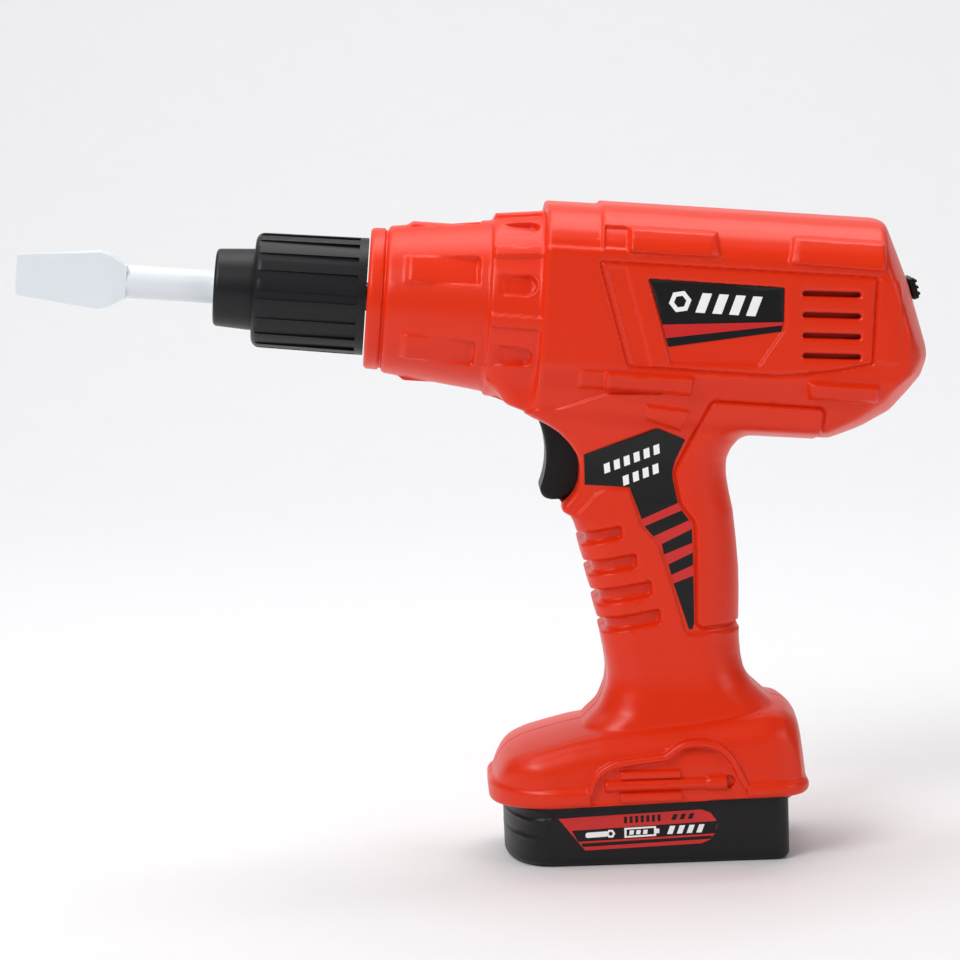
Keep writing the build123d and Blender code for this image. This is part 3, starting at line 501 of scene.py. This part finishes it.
# ---------------------------------------------------------------- shells
shell_pitch = 0.36
shell_low = (-75.0, -2.1 * shell_pitch, 15.5)
shell_high = (86.0, 31.0, 187.0)
housing_bottom, grip_top, foot_top, clip_top = 112.0, 140.0, 48.0, 40.0     # heights the fields reach
boss_points = [
    across(62.0, 24.0), across(110.0, 24.6), across(136.0, 22.0), across(136.0, -21.0), across(92.0, -24.0),
    (7.0, 74.0), (8.0, 46.0), (-27.0, 29.0), (38.0, 30.5),
]
boss_radius, boss_margin = 3.5, 0.9
screw_radius, head_radius, head_seat = 1.5, 2.9, 6.0
pilot_radius, pilot_depth = 1.3, 9


def shell_fields():
    """The outer shape with its relief, and the inner space, of one half of the drill."""
    grid = Grid(shell_low, shell_high, shell_pitch)
    size = [len(axis) for axis in grid.axes]
    plain = np.full(size, outside, np.float32)
    relief = np.zeros((size[0], 1, size[2]), np.float32)
    x, y = grid.x, np.abs(grid.y)

    top = grid.slab(housing_bottom, shell_high[2])
    z = grid.z[:, :, top]
    body = body_field(x, y, z)
    barrel = barrel_field(x, y, z)
    upper = merge(body, barrel, 1.2)
    plain[:, :, top] = upper
    u, v = along(x, z)
    relief[:, :, top] += side_relief(u, v)

    low = grid.slab(shell_low[2], grip_top)
    z = grid.z[:, :, low]
    grip = grip_field(x, y, z)
    blend = 3.0 * ramp(112.0, 120.0, z) + 0.6
    plain[:, :, low] = merge(plain[:, :, low], grip, blend)
    relief[:, :, low] += grip_relief(x, z)

    foot = grid.slab(shell_low[2], foot_top)
    z = grid.z[:, :, foot]
    shoe = shoe_field(x, y, z)
    plain[:, :, foot] = merge(plain[:, :, foot], shoe, 0.8)
    return grid, plain, relief


def clip_detail(grid, outer):
    """The shallow pocket on the shoe's side, with its arched rim, two bars and a round rod."""
    pocket_floor, rim_half, rim_face, root = 26.6, 0.95, 28.2, 22.0
    rod_y, rod_z, rod_middle, rod_half = 26.4, 23.1, 5.1, 16.8
    foot = grid.slab(shell_low[2], clip_top)
    x, y, z = grid.x, np.abs(grid.y), grid.z[:, :, foot]
    inside, rim = pocket_shape(x, z)
    field = outer[:, :, foot]
    field = np.maximum(field, np.minimum(y - pocket_floor, -inside))
    arch = meet(rim - rim_half, y - rim_face, 0.8)
    arch = np.maximum(arch, root - y)
    bars = []
    for low_x, high_x, low_z, high_z, face in ((-7.5, 9.2, 25.0, 27.1, 27.9), (-7.7, 9.4, 18.6, 21.0, 28.2)):
        bar = np.maximum(np.abs(x - (low_x + high_x) / 2) - (high_x - low_x) / 2,
                         np.abs(z - (low_z + high_z) / 2) - (high_z - low_z) / 2)
        bars.append(np.maximum(meet(bar, y - face, 0.4), root - y))
    rod = np.hypot(z - rod_z, y - rod_y) - np.where(x > 16.5, 2.0, 1.65)
    rod = np.maximum(rod, np.abs(x - rod_middle) - rod_half)
    for part in (arch, rod, *bars):
        field = np.minimum(field, part)
    hole = np.maximum(np.hypot(x - 22.4, z - 23.3) - 1.7, 25.4 - y)
    hole = np.maximum(hole, 22.2 - x)
    outer[:, :, foot] = cut(field, hole)


def battery_plan(x, y, inset):
    """The battery case seen from below: straight sides, small rear corners, an oval front."""
    low, high = box_mm("battery_case")
    half = high[1] - inset
    nose = 12.0
    straight = block(x, y, low[0] - 40, high[0] - inset, half, 4.0)
    shoulder = low[0] + nose
    stretch = (nose - inset) / half
    oval = np.hypot((x - shoulder) / stretch, y) - half
    return np.where(x < shoulder, np.maximum(straight, oval * 0.6), straight)


def shell_piece(grid, outer, inner, wells):
    """One half of the shells, as a field: the left without screw wells, the right with them."""
    x, y, z = grid.x, grid.y, grid.z
    away = np.abs(y)
    # bosses, webs and screen end at this envelope, 1.3 mm short of the wall they should join
    envelope = inner + wall - boss_margin
    solid = -inner
    bosses = np.full(outer.shape, outside, np.float32)
    for bx, bz in boss_points:
        bosses = np.minimum(bosses, np.hypot(x - bx, z - bz) - boss_radius)
    pin_x, pin_z = [(a + b) / 2 for a, b in zip(*box_mm("trigger_pin"))][::2]
    trigger_half = box_mm("trigger")[1][1] + 0.3
    stand = np.maximum(np.hypot(x - pin_x, z - pin_z) - 3.2, trigger_half - away)
    bosses = np.minimum(bosses, stand)
    u, v = along(x, z)
    _, can_high = box_mm("motor_can")
    for cradle_u in (66.0, 82.0):
        web = np.maximum(np.abs(u - cradle_u - 0.9) - 0.9, np.abs(v) - 8.0)
        bosses = np.minimum(bosses, np.maximum(web, can_high[1] + 0.05 - away))
    screen = np.maximum(np.abs(u - vent_u) - 10.0, np.abs(v - 2.4) - 12.0)
    bosses = np.minimum(bosses, np.maximum(screen, np.abs(away - 23.3) - 0.8))
    screen_rim = np.maximum(screen, -screen - 1.2)
    bosses = np.minimum(bosses, np.maximum(screen_rim, 22.5 - away))
    bosses = np.maximum(bosses, envelope)
    field = np.maximum(outer, np.minimum(solid, bosses))

    nose = np.maximum(np.hypot(away, v) - 7.3, np.abs(u - 0.3) - 3.2)
    field = cut(field, nose)
    window = np.maximum(np.maximum(np.abs(x + 23) - 13, np.abs(z - 113.2) - 14.8), away - trigger_half)
    field = cut(field, window)
    opening = np.maximum(battery_plan(x, away, -0.2), z - box_mm("battery_case")[1][2] - 0.3)
    field = cut(field, opening)
    for row in vent_rows:
        field = cut(field, np.maximum(vent_slot(u, v, row), 24.1 - away))
    field = cut(field, np.maximum(np.hypot(x - pin_x, z - pin_z) - 1.5, away - trigger_half - 4))
    field = cut(field, knob_slot(x, away, z))
    for bx, bz in boss_points:
        if wells:
            field = cut(field, np.hypot(x - bx, z - bz) - screw_radius)
            field = cut(field, np.maximum(np.hypot(x - bx, z - bz) - head_radius, head_seat - away))
        else:
            field = cut(field, np.maximum(np.hypot(x - bx, z - bz) - pilot_radius, away - pilot_depth))
    return meet(field, seam - y, 0.3)


knob_joint = next(joint for joint in frame["joints"] if joint["name"] == "direction_slide")


def knob_slot(x, y, z):
    """The slot that the direction knob's stem slides in."""
    low, high = box_mm("direction_knob")
    slide = np.array(knob_joint["axis"])
    out = np.array([slide[2], 0.0, -slide[0]])
    plate_half, plate_back, plate_face = 6.5, 4.3, 3.1      # the inner plate's corners bound the knob's box
    origin_x = low[0] + plate_back * out[0] - plate_half * slide[0]
    origin_z = high[2] + plate_face * out[2] - plate_half * slide[2]
    dx, dz = x - origin_x, z - origin_z
    s = dx * slide[0] + dz * slide[2]
    n = dx * out[0] + dz * out[2]
    return np.maximum(np.maximum(np.abs(s) - 4.3, y - 3.3), np.abs(n) - 9.0)


def build_shells(material):
    """Both shells; returns the height of their outer skin as a function of x and z."""
    grid, plain, relief = shell_fields()
    outer = plain - relief
    clip_detail(grid, outer)
    height = skin_height(grid, outer)
    inner = np.maximum(plain + wall, outer + least_wall)
    adaptivity = 0.012
    for name, node, wells, mirrored in (
        ("shell_left", "left_shell", False, True),
        ("shell_right", "right_shell", True, False),
    ):
        field = shell_piece(grid, outer, inner, wells)
        vertices, faces, normals = skin(grid, field, adaptivity)
        obj = piece(name, vertices, faces, normals, [material], mirrored=mirrored)
        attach(obj, "housing")
        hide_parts(node)
    return height


def skin_height(grid, field):
    """How far out the skin stands over each point of the side view: a function of x and z."""
    solid = field < 0
    count = field.shape[1]
    last = count - 1 - np.argmax(solid[:, ::-1, :], axis=1)
    last = np.clip(last, 0, count - 2)
    i, k = np.meshgrid(np.arange(field.shape[0]), np.arange(field.shape[2]), indexing="ij")
    a, b = field[i, last, k], field[i, last + 1, k]
    depth = grid.axes[1][0] + (last + a / (a - b)) * grid.pitch

    def height(x, z):
        fi = (x - grid.low[0]) / grid.pitch
        fj = (z - grid.low[2]) / grid.pitch
        i0, k0 = int(fi), int(fj)
        ti, tk = fi - i0, fj - k0
        rows = depth[i0:i0 + 2, k0:k0 + 2]
        low = rows[0, 0] * (1 - tk) + rows[0, 1] * tk
        high = rows[1, 0] * (1 - tk) + rows[1, 1] * tk
        return float(low * (1 - ti) + high * ti)

    return height


# ---------------------------------------------------------------- materials
def srgb(r, g, b):
    """Linear colour of an 8-bit sRGB triple."""
    def linear(c):
        c /= 255
        return c / 12.92 if c <= 0.04045 else ((c + 0.055) / 1.055) ** 2.4
    return (linear(r), linear(g), linear(b), 1.0)


def plastic(name, colour, roughness=0.35, texture=0.05, scale=900, mottling=0.04, sheen=0.5, subsurface=0.0):
    """Moulded plastic: a colour with slight mottling and a fine moulded grain."""
    material = bpy.data.materials.new(name)
    material.use_nodes = True
    tree = material.node_tree
    shader = tree.nodes["Principled BSDF"]
    shader.inputs["Roughness"].default_value = roughness
    shader.inputs["Specular IOR Level"].default_value = sheen
    if subsurface:
        shader.inputs["Subsurface Weight"].default_value = subsurface
        shader.inputs["Subsurface Radius"].default_value = (0.006, 0.006, 0.006)
    place = tree.nodes.new("ShaderNodeTexCoord")
    cloud = tree.nodes.new("ShaderNodeTexNoise")
    cloud.inputs["Scale"].default_value = 60
    cloud.inputs["Detail"].default_value = 3
    tree.links.new(place.outputs["Object"], cloud.inputs["Vector"])
    blend = tree.nodes.new("ShaderNodeMix")
    blend.data_type = "RGBA"
    dark = tuple(c * (1 - mottling) for c in colour[:3]) + (1.0,)
    light = tuple(min(1.0, c * (1 + mottling)) for c in colour[:3]) + (1.0,)
    blend.inputs["A"].default_value = dark
    blend.inputs["B"].default_value = light
    tree.links.new(cloud.outputs["Fac"], blend.inputs["Factor"])
    tree.links.new(blend.outputs["Result"], shader.inputs["Base Color"])
    grain = tree.nodes.new("ShaderNodeTexNoise")
    grain.inputs["Scale"].default_value = scale
    grain.inputs["Detail"].default_value = 2
    tree.links.new(place.outputs["Object"], grain.inputs["Vector"])
    bump = tree.nodes.new("ShaderNodeBump")
    bump.inputs["Strength"].default_value = texture
    bump.inputs["Distance"].default_value = 0.0002
    tree.links.new(grain.outputs["Fac"], bump.inputs["Height"])
    tree.links.new(bump.outputs["Normal"], shader.inputs["Normal"])
    return material


def metal(name, colour, roughness=0.3, brushed=0.15):
    """Turned or pressed metal with a fine brushed finish."""
    material = plastic(name, colour, roughness, texture=brushed, scale=1500, mottling=0.08)
    material.node_tree.nodes["Principled BSDF"].inputs["Metallic"].default_value = 1.0
    return material


red = plastic("red_plastic", srgb(228, 46, 4), roughness=0.36, texture=0.05, sheen=0.34)
black = plastic("black_plastic", srgb(22, 22, 25), roughness=0.42, texture=0.10, sheen=0.3)
finishes = {
    "red_plastic": red,
    "black_plastic": black,
    "trigger_plastic": plastic("trigger_plastic", srgb(16, 16, 18), roughness=0.42, texture=0.10, sheen=0.3),
    "bit_plastic": plastic("bit_plastic", srgb(224, 229, 234), roughness=0.4, texture=0.03, subsurface=0.2),
    "label_film": plastic("label_film", srgb(16, 16, 18), roughness=0.35, texture=0.02, sheen=0.3),
    "steel": metal("steel", srgb(190, 192, 196)),
    "motor_steel": metal("motor_steel", srgb(172, 174, 178), roughness=0.35),
    "magnet": plastic("magnet", srgb(52, 52, 56), roughness=0.6),
    "brass": metal("brass", srgb(212, 176, 92)),
    "copper": metal("copper", srgb(196, 110, 70)),
    "nylon": plastic("nylon", srgb(226, 224, 214), roughness=0.4, subsurface=0.1),
    "cell_wrap": plastic("cell_wrap", srgb(40, 96, 60), roughness=0.3),
    "wire_red": plastic("wire_red", srgb(190, 24, 20), roughness=0.45),
    "wire_black": plastic("wire_black", srgb(24, 24, 26), roughness=0.45),
    "wire_yellow": plastic("wire_yellow", srgb(224, 180, 30), roughness=0.45),
}

skin_at = build_shells(red)


# ---------------------------------------------------------------- battery case
case_low, case_high = box_mm("battery_case")
case_relief = [
    [(-38.9, 13.9), (-33.0, 13.0), (-27.2, 13.4)],
    [(-26.4, 13.8), (-28.2, 11.8), (-28.5, 9.2), (-31.5, 8.0), (-38.9, 8.6)],
]


def battery_field(grid):
    """The case, with a rounded foot, a nose that draws in downward, its cell bay and its door's opening."""
    x, y, z = grid.x, grid.y, grid.z
    away = np.abs(y)
    bay_front, bay_rear, bay_side, bay_middle, bay_half = -29.0, 34.5, 1.4, 11.25, 8.95
    bead_z = 16.2
    draft = 0.012 * (case_high[2] - z) * ramp(-10, -36, x)
    plan = battery_plan(x, away, 0.0) + draft
    outer = meet(plan, case_low[2] - z, 2.2)
    outer = meet(outer, z - case_high[2], 0.5)
    for line in case_relief:
        outer = outer - 0.35 * (1 - ramp(0.15, 0.7, polyline(x, z, line)))
    top_bead = np.abs(z - bead_z)
    outer = outer - 0.25 * (1 - ramp(0.2, 0.6, top_bead)) * ramp(-28, -31, x)
    bay = block(x, y, bay_front, bay_rear, case_high[1] - bay_side, 3.0)
    bay = meet(bay, np.abs(z - bay_middle) - bay_half, 0.4)
    door_low, door_high = box_mm("battery_door")
    tongue_x, tongue_half = 31.8, 5.2
    opening = block(x, y, door_low[0] - 0.2, tongue_x + 0.2, door_high[1] + 0.2, 2.0)
    tongue = block(x, y, tongue_x - 3.0, door_high[0] + 0.2, tongue_half, 1.5)
    opening = np.maximum(opening, z - 3.0)
    tongue = np.maximum(tongue, z - door_high[2] - 0.2)
    screw_low, screw_high = box_mm("battery_door_screw")
    pilot = np.hypot(x - (screw_low[0] + screw_high[0]) / 2, y) - 1.3
    pilot = np.maximum(pilot, z - 6)
    for hollow in (bay, opening, tongue, pilot):
        outer = cut(outer, hollow)
    return outer


def build_battery_case(material):
    """The battery case as one piece."""
    pitch = 0.36
    grid = Grid(case_low - 2.2 * pitch, case_high + 2.2 * pitch, pitch)
    vertices, faces, normals = skin(grid, battery_field(grid), 0.01)
    obj = piece("battery_shell", vertices, faces, normals, [material])
    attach(obj, "housing")
    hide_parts("battery_case")


build_battery_case(black)


# ---------------------------------------------------------------- printed labels
def hexagon(x, z, radius, turn=0.0):
    """The corners of a hexagon."""
    angles = [math.radians(turn + 60 * k) for k in range(6)]
    return [(x + radius * math.cos(a), z + radius * math.sin(a)) for a in angles]


def slanted_bar(x, z, width, height, lean, tilt=0.0):
    """A small parallelogram, leaning over by lean and then turned by tilt degrees."""
    corners = [(-width / 2 - lean, -height / 2), (width / 2 - lean, -height / 2),
               (width / 2 + lean, height / 2), (-width / 2 + lean, height / 2)]
    cosine, sine = math.cos(math.radians(tilt)), math.sin(math.radians(tilt))
    return [(x + a * cosine - b * sine, z + a * sine + b * cosine) for a, b in corners]


def in_view(points):
    """Row-frame corners of an outline given in the drill's own axes."""
    return [across(*point) for point in points]


class Label:
    """A printed film on both sides, its outline and its printed shapes laid over the skin."""

    def __init__(self, name, outline, prints, height_at, node, lift=0.05, film=0.12, spacing=1.6):
        self.outline, self.prints = outline, prints
        self.height_at, self.lift, self.film = height_at, lift, film
        points, triangles = self.tessellate(spacing)
        paint = self.paint_of(points, triangles)
        vertices, faces, materials = self.slab(points, triangles, paint)
        obj = piece(name, vertices, faces, None, [ink for _, ink in label_inks], materials)
        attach(obj, "housing")
        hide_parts(node)

    def tessellate(self, spacing):
        """Triangles that respect every printed edge, with extra points to follow the curve."""
        verts, edges = [], []
        for shape in [self.outline] + [shape for shape, _ in self.prints]:
            first = len(verts)
            verts += [Vector(point) for point in shape]
            count = len(shape)
            edges += [(first + k, first + (k + 1) % count) for k in range(count)]
        low = np.min(self.outline, axis=0)
        high = np.max(self.outline, axis=0)
        for x in np.arange(low[0], high[0], spacing):
            for z in np.arange(low[1], high[1], spacing):
                if polygon(np.array([x]), np.array([z]), self.outline)[0] < -0.3:
                    verts.append(Vector((float(x), float(z))))
        spots, _, triangles, *_ = delaunay_2d_cdt(verts, edges, [], 0, 1e-5)
        points = np.array([(p.x, p.y) for p in spots])
        middle = np.array([points[list(t)].mean(axis=0) for t in triangles])
        inside = polygon(middle[:, 0], middle[:, 1], self.outline) < 0
        return points, [tuple(t) for t, keep in zip(triangles, inside) if keep]

    def paint_of(self, points, triangles):
        """The ink of each triangle: the last printed shape over its middle."""
        middle = np.array([points[list(t)].mean(axis=0) for t in triangles])
        paint = np.zeros(len(triangles), int)
        for shape, ink in self.prints:
            inside = polygon(middle[:, 0], middle[:, 1], shape) < 0
            paint[inside] = [name for name, _ in label_inks].index(ink)
        return paint

    def slab(self, points, triangles, paint):
        """A closed film on the far side and its mirror image on the near side."""
        used = sorted({k for t in triangles for k in t})
        index = {k: n for n, k in enumerate(used)}
        stand = [self.height_at(*points[k]) for k in used]
        count = len(used)
        vertices = [(points[k][0], y + self.lift + self.film, points[k][1]) for k, y in zip(used, stand)]
        vertices += [(points[k][0], y + self.lift, points[k][1]) for k, y in zip(used, stand)]
        faces, materials, rim = [], [], {}
        for triangle, ink in zip(triangles, paint):
            a, b, c = (index[k] for k in triangle)
            faces += [(a, c, b), (a + count, b + count, c + count)]
            materials += [ink, 0]
            for edge in ((a, b), (b, c), (c, a)):
                rim[edge] = edge[::-1] not in rim
                if not rim[edge]:
                    rim[edge[::-1]] = False
        for (a, b), open_edge in rim.items():
            if open_edge:
                faces.append((a, b, b + count, a + count))
                materials.append(0)
        mirrored = [(x, -y, z) for x, y, z in vertices]
        faces += [tuple(k + 2 * count for k in face[::-1]) for face in faces]
        return vertices + mirrored, faces, materials + materials


label_inks = [
    ("black", finishes["label_film"]),
    ("red", plastic("label_red", srgb(208, 30, 26), roughness=0.3, texture=0.02)),
    ("white", plastic("label_white", srgb(252, 252, 252), roughness=0.3, texture=0.02)),
]

# the side label: a black panel over a red wedge and a black one
side_row = 6.2
side_outline = in_view([(75.9, 11.8), (112.5, 11.7), (113.0, 2.8), (112.6, -0.2), (82.3, -6.3)])
side_prints = [
    (in_view([(79.7, -0.4), (112.9, 2.4), (112.8, 1.5), (81.3, -4.0)]), "red"),
    (in_view(hexagon(84.6, side_row, 3.1, 12)), "white"),
    (in_view(hexagon(84.6, side_row, 1.7, 12)), "black"),
]
for bar_u in (91, 95.6, 100.2, 104.8):
    side_prints.append((in_view(slanted_bar(bar_u, side_row, 2.6, 5.4, 0.8)), "white"))
Label("side_decals", side_outline, side_prints, skin_at, "side_labels")

# the grip label: a black blade crossed by red bars
left_edge = [
    (0.8, 95.9), (1.5, 93.9), (3.9, 91.0), (6.2, 88.8), (6.7, 85.8), (7.9, 83.0), (8.6, 80.0), (9.2, 77.6),
]
right_edge = [
    (10.9, 100.1), (11.9, 98.0), (13.9, 95.2), (14.6, 92.7), (14.6, 88.8), (14.7, 86.1), (14.7, 82.6),
    (14.7, 79.6),
]
grip_outline = [(-14.7, 114.5), (5.6, 121.3), (13.2, 117.8), (10.3, 112.0), (9.5, 108.9), (9.6, 106.8)]
grip_outline += right_edge + [(14.7, 66.5), (14.1, 64.6), (13.2, 64.6)] + left_edge[::-1]
grip_outline += [(-2.3, 104.9), (-3.4, 105.1), (-14.7, 106.1)]
grip_prints = [
    ([left_edge[k], right_edge[k], right_edge[k + 1], left_edge[k + 1]], "red") for k in (0, 2, 4, 6)
]
tilt, dash_spacing = 19.0, 2.9
for row_x, row_z, count in ((-1.6, 112.9, 6), (0.8, 108.4, 4)):
    for k in range(count):
        shift = (k - (count - 1) / 2) * dash_spacing
        spot = (row_x + shift * math.cos(math.radians(tilt)), row_z + shift * math.sin(math.radians(tilt)))
        grip_prints.append((slanted_bar(*spot, 1.7, 2.6, 0.35, tilt), "white"))
Label("grip_decals", grip_outline, grip_prints, skin_at, "grip_labels")

# the battery label: a red frame with a gauge, a cell sign and plain bars
battery_half = case_high[1]
battery_outline = [
    (-24.8, 13.9), (-20, 14.1), (14.9, 15.2), (17.4, 14.2), (18.9, 12.2), (19.2, 10.6), (18.5, 8.2),
    (17.0, 6.5), (14.6, 5.6), (-17.6, 4.7),
]
battery_prints = [
    (battery_outline, "red"),
    ([(-21.2, 10.4), (19.3, 11.8), (18.6, 8.3), (-19.5, 7.2)], "black"),
    ([(-18.6, 6.7), (17.9, 7.7), (17.2, 6.8), (-18.2, 5.7)], "black"),
]
for k in range(7):
    battery_prints.append((slanted_bar(-6.2 + 1.55 * k, 12.95 + 0.045 * k, 0.85, 1.9, 0.0), "black"))
for k in range(3):
    battery_prints.append((slanted_bar(7.4 + 2.3 * k, 13.3 + 0.06 * k, 1.3, 1.6, 0.35), "black"))
battery_prints += [
    (rounded([(-17.4, 8.2), (-17.4, 9.7), (-11.0, 9.95), (-11.0, 8.45)], 0.7), "white"),
    (hexagon(-10.4, 9.2, 1.25, 0), "white"),
    (hexagon(-10.4, 9.2, 0.6, 0), "black"),
    ([(-6.6, 7.9), (-6.6, 10.7), (2.2, 10.95), (2.2, 8.15)], "white"),
    ([(-6.0, 8.4), (-6.0, 10.2), (1.6, 10.45), (1.6, 8.65)], "black"),
    ([(2.2, 8.9), (2.2, 10.2), (3.1, 10.2), (3.1, 8.9)], "white"),
]
battery_prints += [(slanted_bar(-4.6 + 1.9 * k, 9.35 + 0.03 * k, 1.2, 1.2, 0.1), "white") for k in range(3)]
battery_prints += [(slanted_bar(6.4 + 2.7 * k, 9.7 + 0.05 * k, 1.5, 2.3, 0.45), "white") for k in range(4)]
Label("battery_decals", battery_outline, battery_prints, lambda x, z: battery_half, "battery_labels")


# ---------------------------------------------------------------- trigger spring
def build_spring():
    """The trigger's return spring, a steel coil that fills the spring's box."""
    low, high = box_mm("trigger_spring")
    wire, turns, steps_per_turn = 0.28, 5, 24
    axis_z = (low[2] + high[2]) / 2
    radius = (high[2] - low[2]) / 2 - wire
    steps, ring = turns * steps_per_turn, 10
    vertices, normals, faces = [], [], []
    for i in range(steps + 1):
        a = 2 * math.pi * turns * i / steps
        x = low[0] + wire + (high[0] - low[0] - 2 * wire) * i / steps
        for k in range(ring):
            b = 2 * math.pi * k / ring
            out, side = math.cos(b), math.sin(b)
            normal = (side, out * math.cos(a), out * math.sin(a))
            centre = (x, radius * math.cos(a), axis_z + radius * math.sin(a))
            vertices.append(tuple(c + wire * n for c, n in zip(centre, normal)))
            normals.append(normal)
    for i in range(steps):
        for k in range(ring):
            a, b = i * ring + k, i * ring + (k + 1) % ring
            faces.append((a, a + ring, b + ring, b))
    faces.append(tuple(range(ring)))
    faces.append(tuple(range(steps * ring + ring - 1, steps * ring - 1, -1)))
    obj = piece("return_spring", vertices, faces, np.array(normals), [finishes["steel"]])
    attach(obj, "housing")
    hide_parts("trigger_spring")
    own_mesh(obj)


build_spring()

# ---------------------------------------------------------------- CAD pieces that are shown as they are
for subpart in frame["record"]["subparts"]:
    node = frame["nodes"][subpart["node"]]
    node.data.materials.clear()
    node.data.materials.append(finishes[subpart["material_slot"]])


# ---------------------------------------------------------------- studio
def studio_material(name, colour, roughness):
    """A plain painted surface with a very faint mottling."""
    return plastic(name, colour, roughness, texture=0.0, mottling=0.01, sheen=0.2)


def softbox(name, place, target, size, power, colour=(1, 1, 1)):
    """A rectangular area light aimed at a point."""
    light = bpy.data.lights.new(name, "AREA")
    light.shape = "RECTANGLE"
    light.size, light.size_y = size
    light.energy = power
    light.color = colour
    obj = bpy.data.objects.new(name, light)
    obj.location = place
    obj.rotation_euler = (Vector(target) - Vector(place)).to_track_quat("-Z", "Y").to_euler()
    bpy.context.scene.collection.objects.link(obj)


def sweep(name, width, near, far, bend, top, material):
    """A floor that curves up into a wall behind the drill."""
    steps = 16
    profile = [(near, 0.0), (far - bend, 0.0)]
    for k in range(1, steps + 1):
        a = math.pi / 2 * k / steps
        profile.append((far - bend + bend * math.sin(a), bend - bend * math.cos(a)))
    profile.append((far, top))
    mesh = bpy.data.meshes.new(name)
    rows = [(x, y, z) for y, z in profile for x in (-width, width)]
    faces = [(2 * k, 2 * k + 1, 2 * k + 3, 2 * k + 2) for k in range(len(profile) - 1)]
    mesh.from_pydata(rows, [], faces)
    mesh.materials.append(material)
    mesh.polygons.foreach_set("use_smooth", [True] * len(mesh.polygons))
    obj = bpy.data.objects.new(name, mesh)
    bpy.context.scene.collection.objects.link(obj)


sweep("floor", 6.0, -4.0, 1.9, 1.2, 4.0, studio_material("floor_paint", (0.84, 0.84, 0.85, 1), 0.7))
middle = (-0.04, 0.0, 0.10)
softbox("key", (-0.70, -0.75, 0.95), middle, (0.6, 0.6), 9.8)
softbox("top", (-0.1, 0.15, 1.1), middle, (1.3, 0.5), 8)
softbox("fill", (1.1, -0.8, 0.55), middle, (0.7, 0.7), 4.0)
softbox("backdrop", (0.0, 0.8, 1.3), (0.0, 1.7, 0.1), (2.6, 0.4), 13)

world = bpy.data.worlds.new("studio")
bpy.context.scene.world = world
world.use_nodes = True
world_nodes, world_links = world.node_tree.nodes, world.node_tree.links
world_nodes["Background"].inputs["Color"].default_value = (0.93, 0.94, 0.96, 1)
path = world_nodes.new("ShaderNodeLightPath")
level_mix = world_nodes.new("ShaderNodeMapRange")
light_level, seen_level = 0.14, 0.85         # the world's strength as light and as a backdrop
level_mix.inputs["To Min"].default_value = light_level
level_mix.inputs["To Max"].default_value = seen_level
world_links.new(path.outputs["Is Camera Ray"], level_mix.inputs["Value"])
world_links.new(level_mix.outputs["Result"], world_nodes["Background"].inputs["Strength"])

# ---------------------------------------------------------------- camera
camera_azimuth, camera_elevation, camera_roll = -1.1, 7.2, 1.75
camera_target, camera_distance = Vector((-0.04314, 0.0, 0.10605)), 1.036
azimuth, elevation, roll = (math.radians(a) for a in (camera_azimuth, camera_elevation, camera_roll))
back = Vector((math.sin(azimuth) * math.cos(elevation), -math.cos(azimuth) * math.cos(elevation),
               math.sin(elevation)))
level = (-back).cross(Vector((0, 0, 1))).normalized()
rise = level.cross(-back)
right = level * math.cos(roll) - rise * math.sin(roll)
up = level * math.sin(roll) + rise * math.cos(roll)
camera = bpy.data.objects.new("camera", bpy.data.cameras.new("camera"))
camera.data.lens, camera.data.sensor_width = 138.75, 36.0
camera.data.clip_end = 20.0
place = camera_target + back * camera_distance
camera.matrix_world = Matrix.Translation(place) @ Matrix((right, up, back)).transposed().to_4x4()
bpy.context.scene.collection.objects.link(camera)
bpy.context.scene.camera = camera
bpy.context.scene.view_settings.view_transform = "Standard"
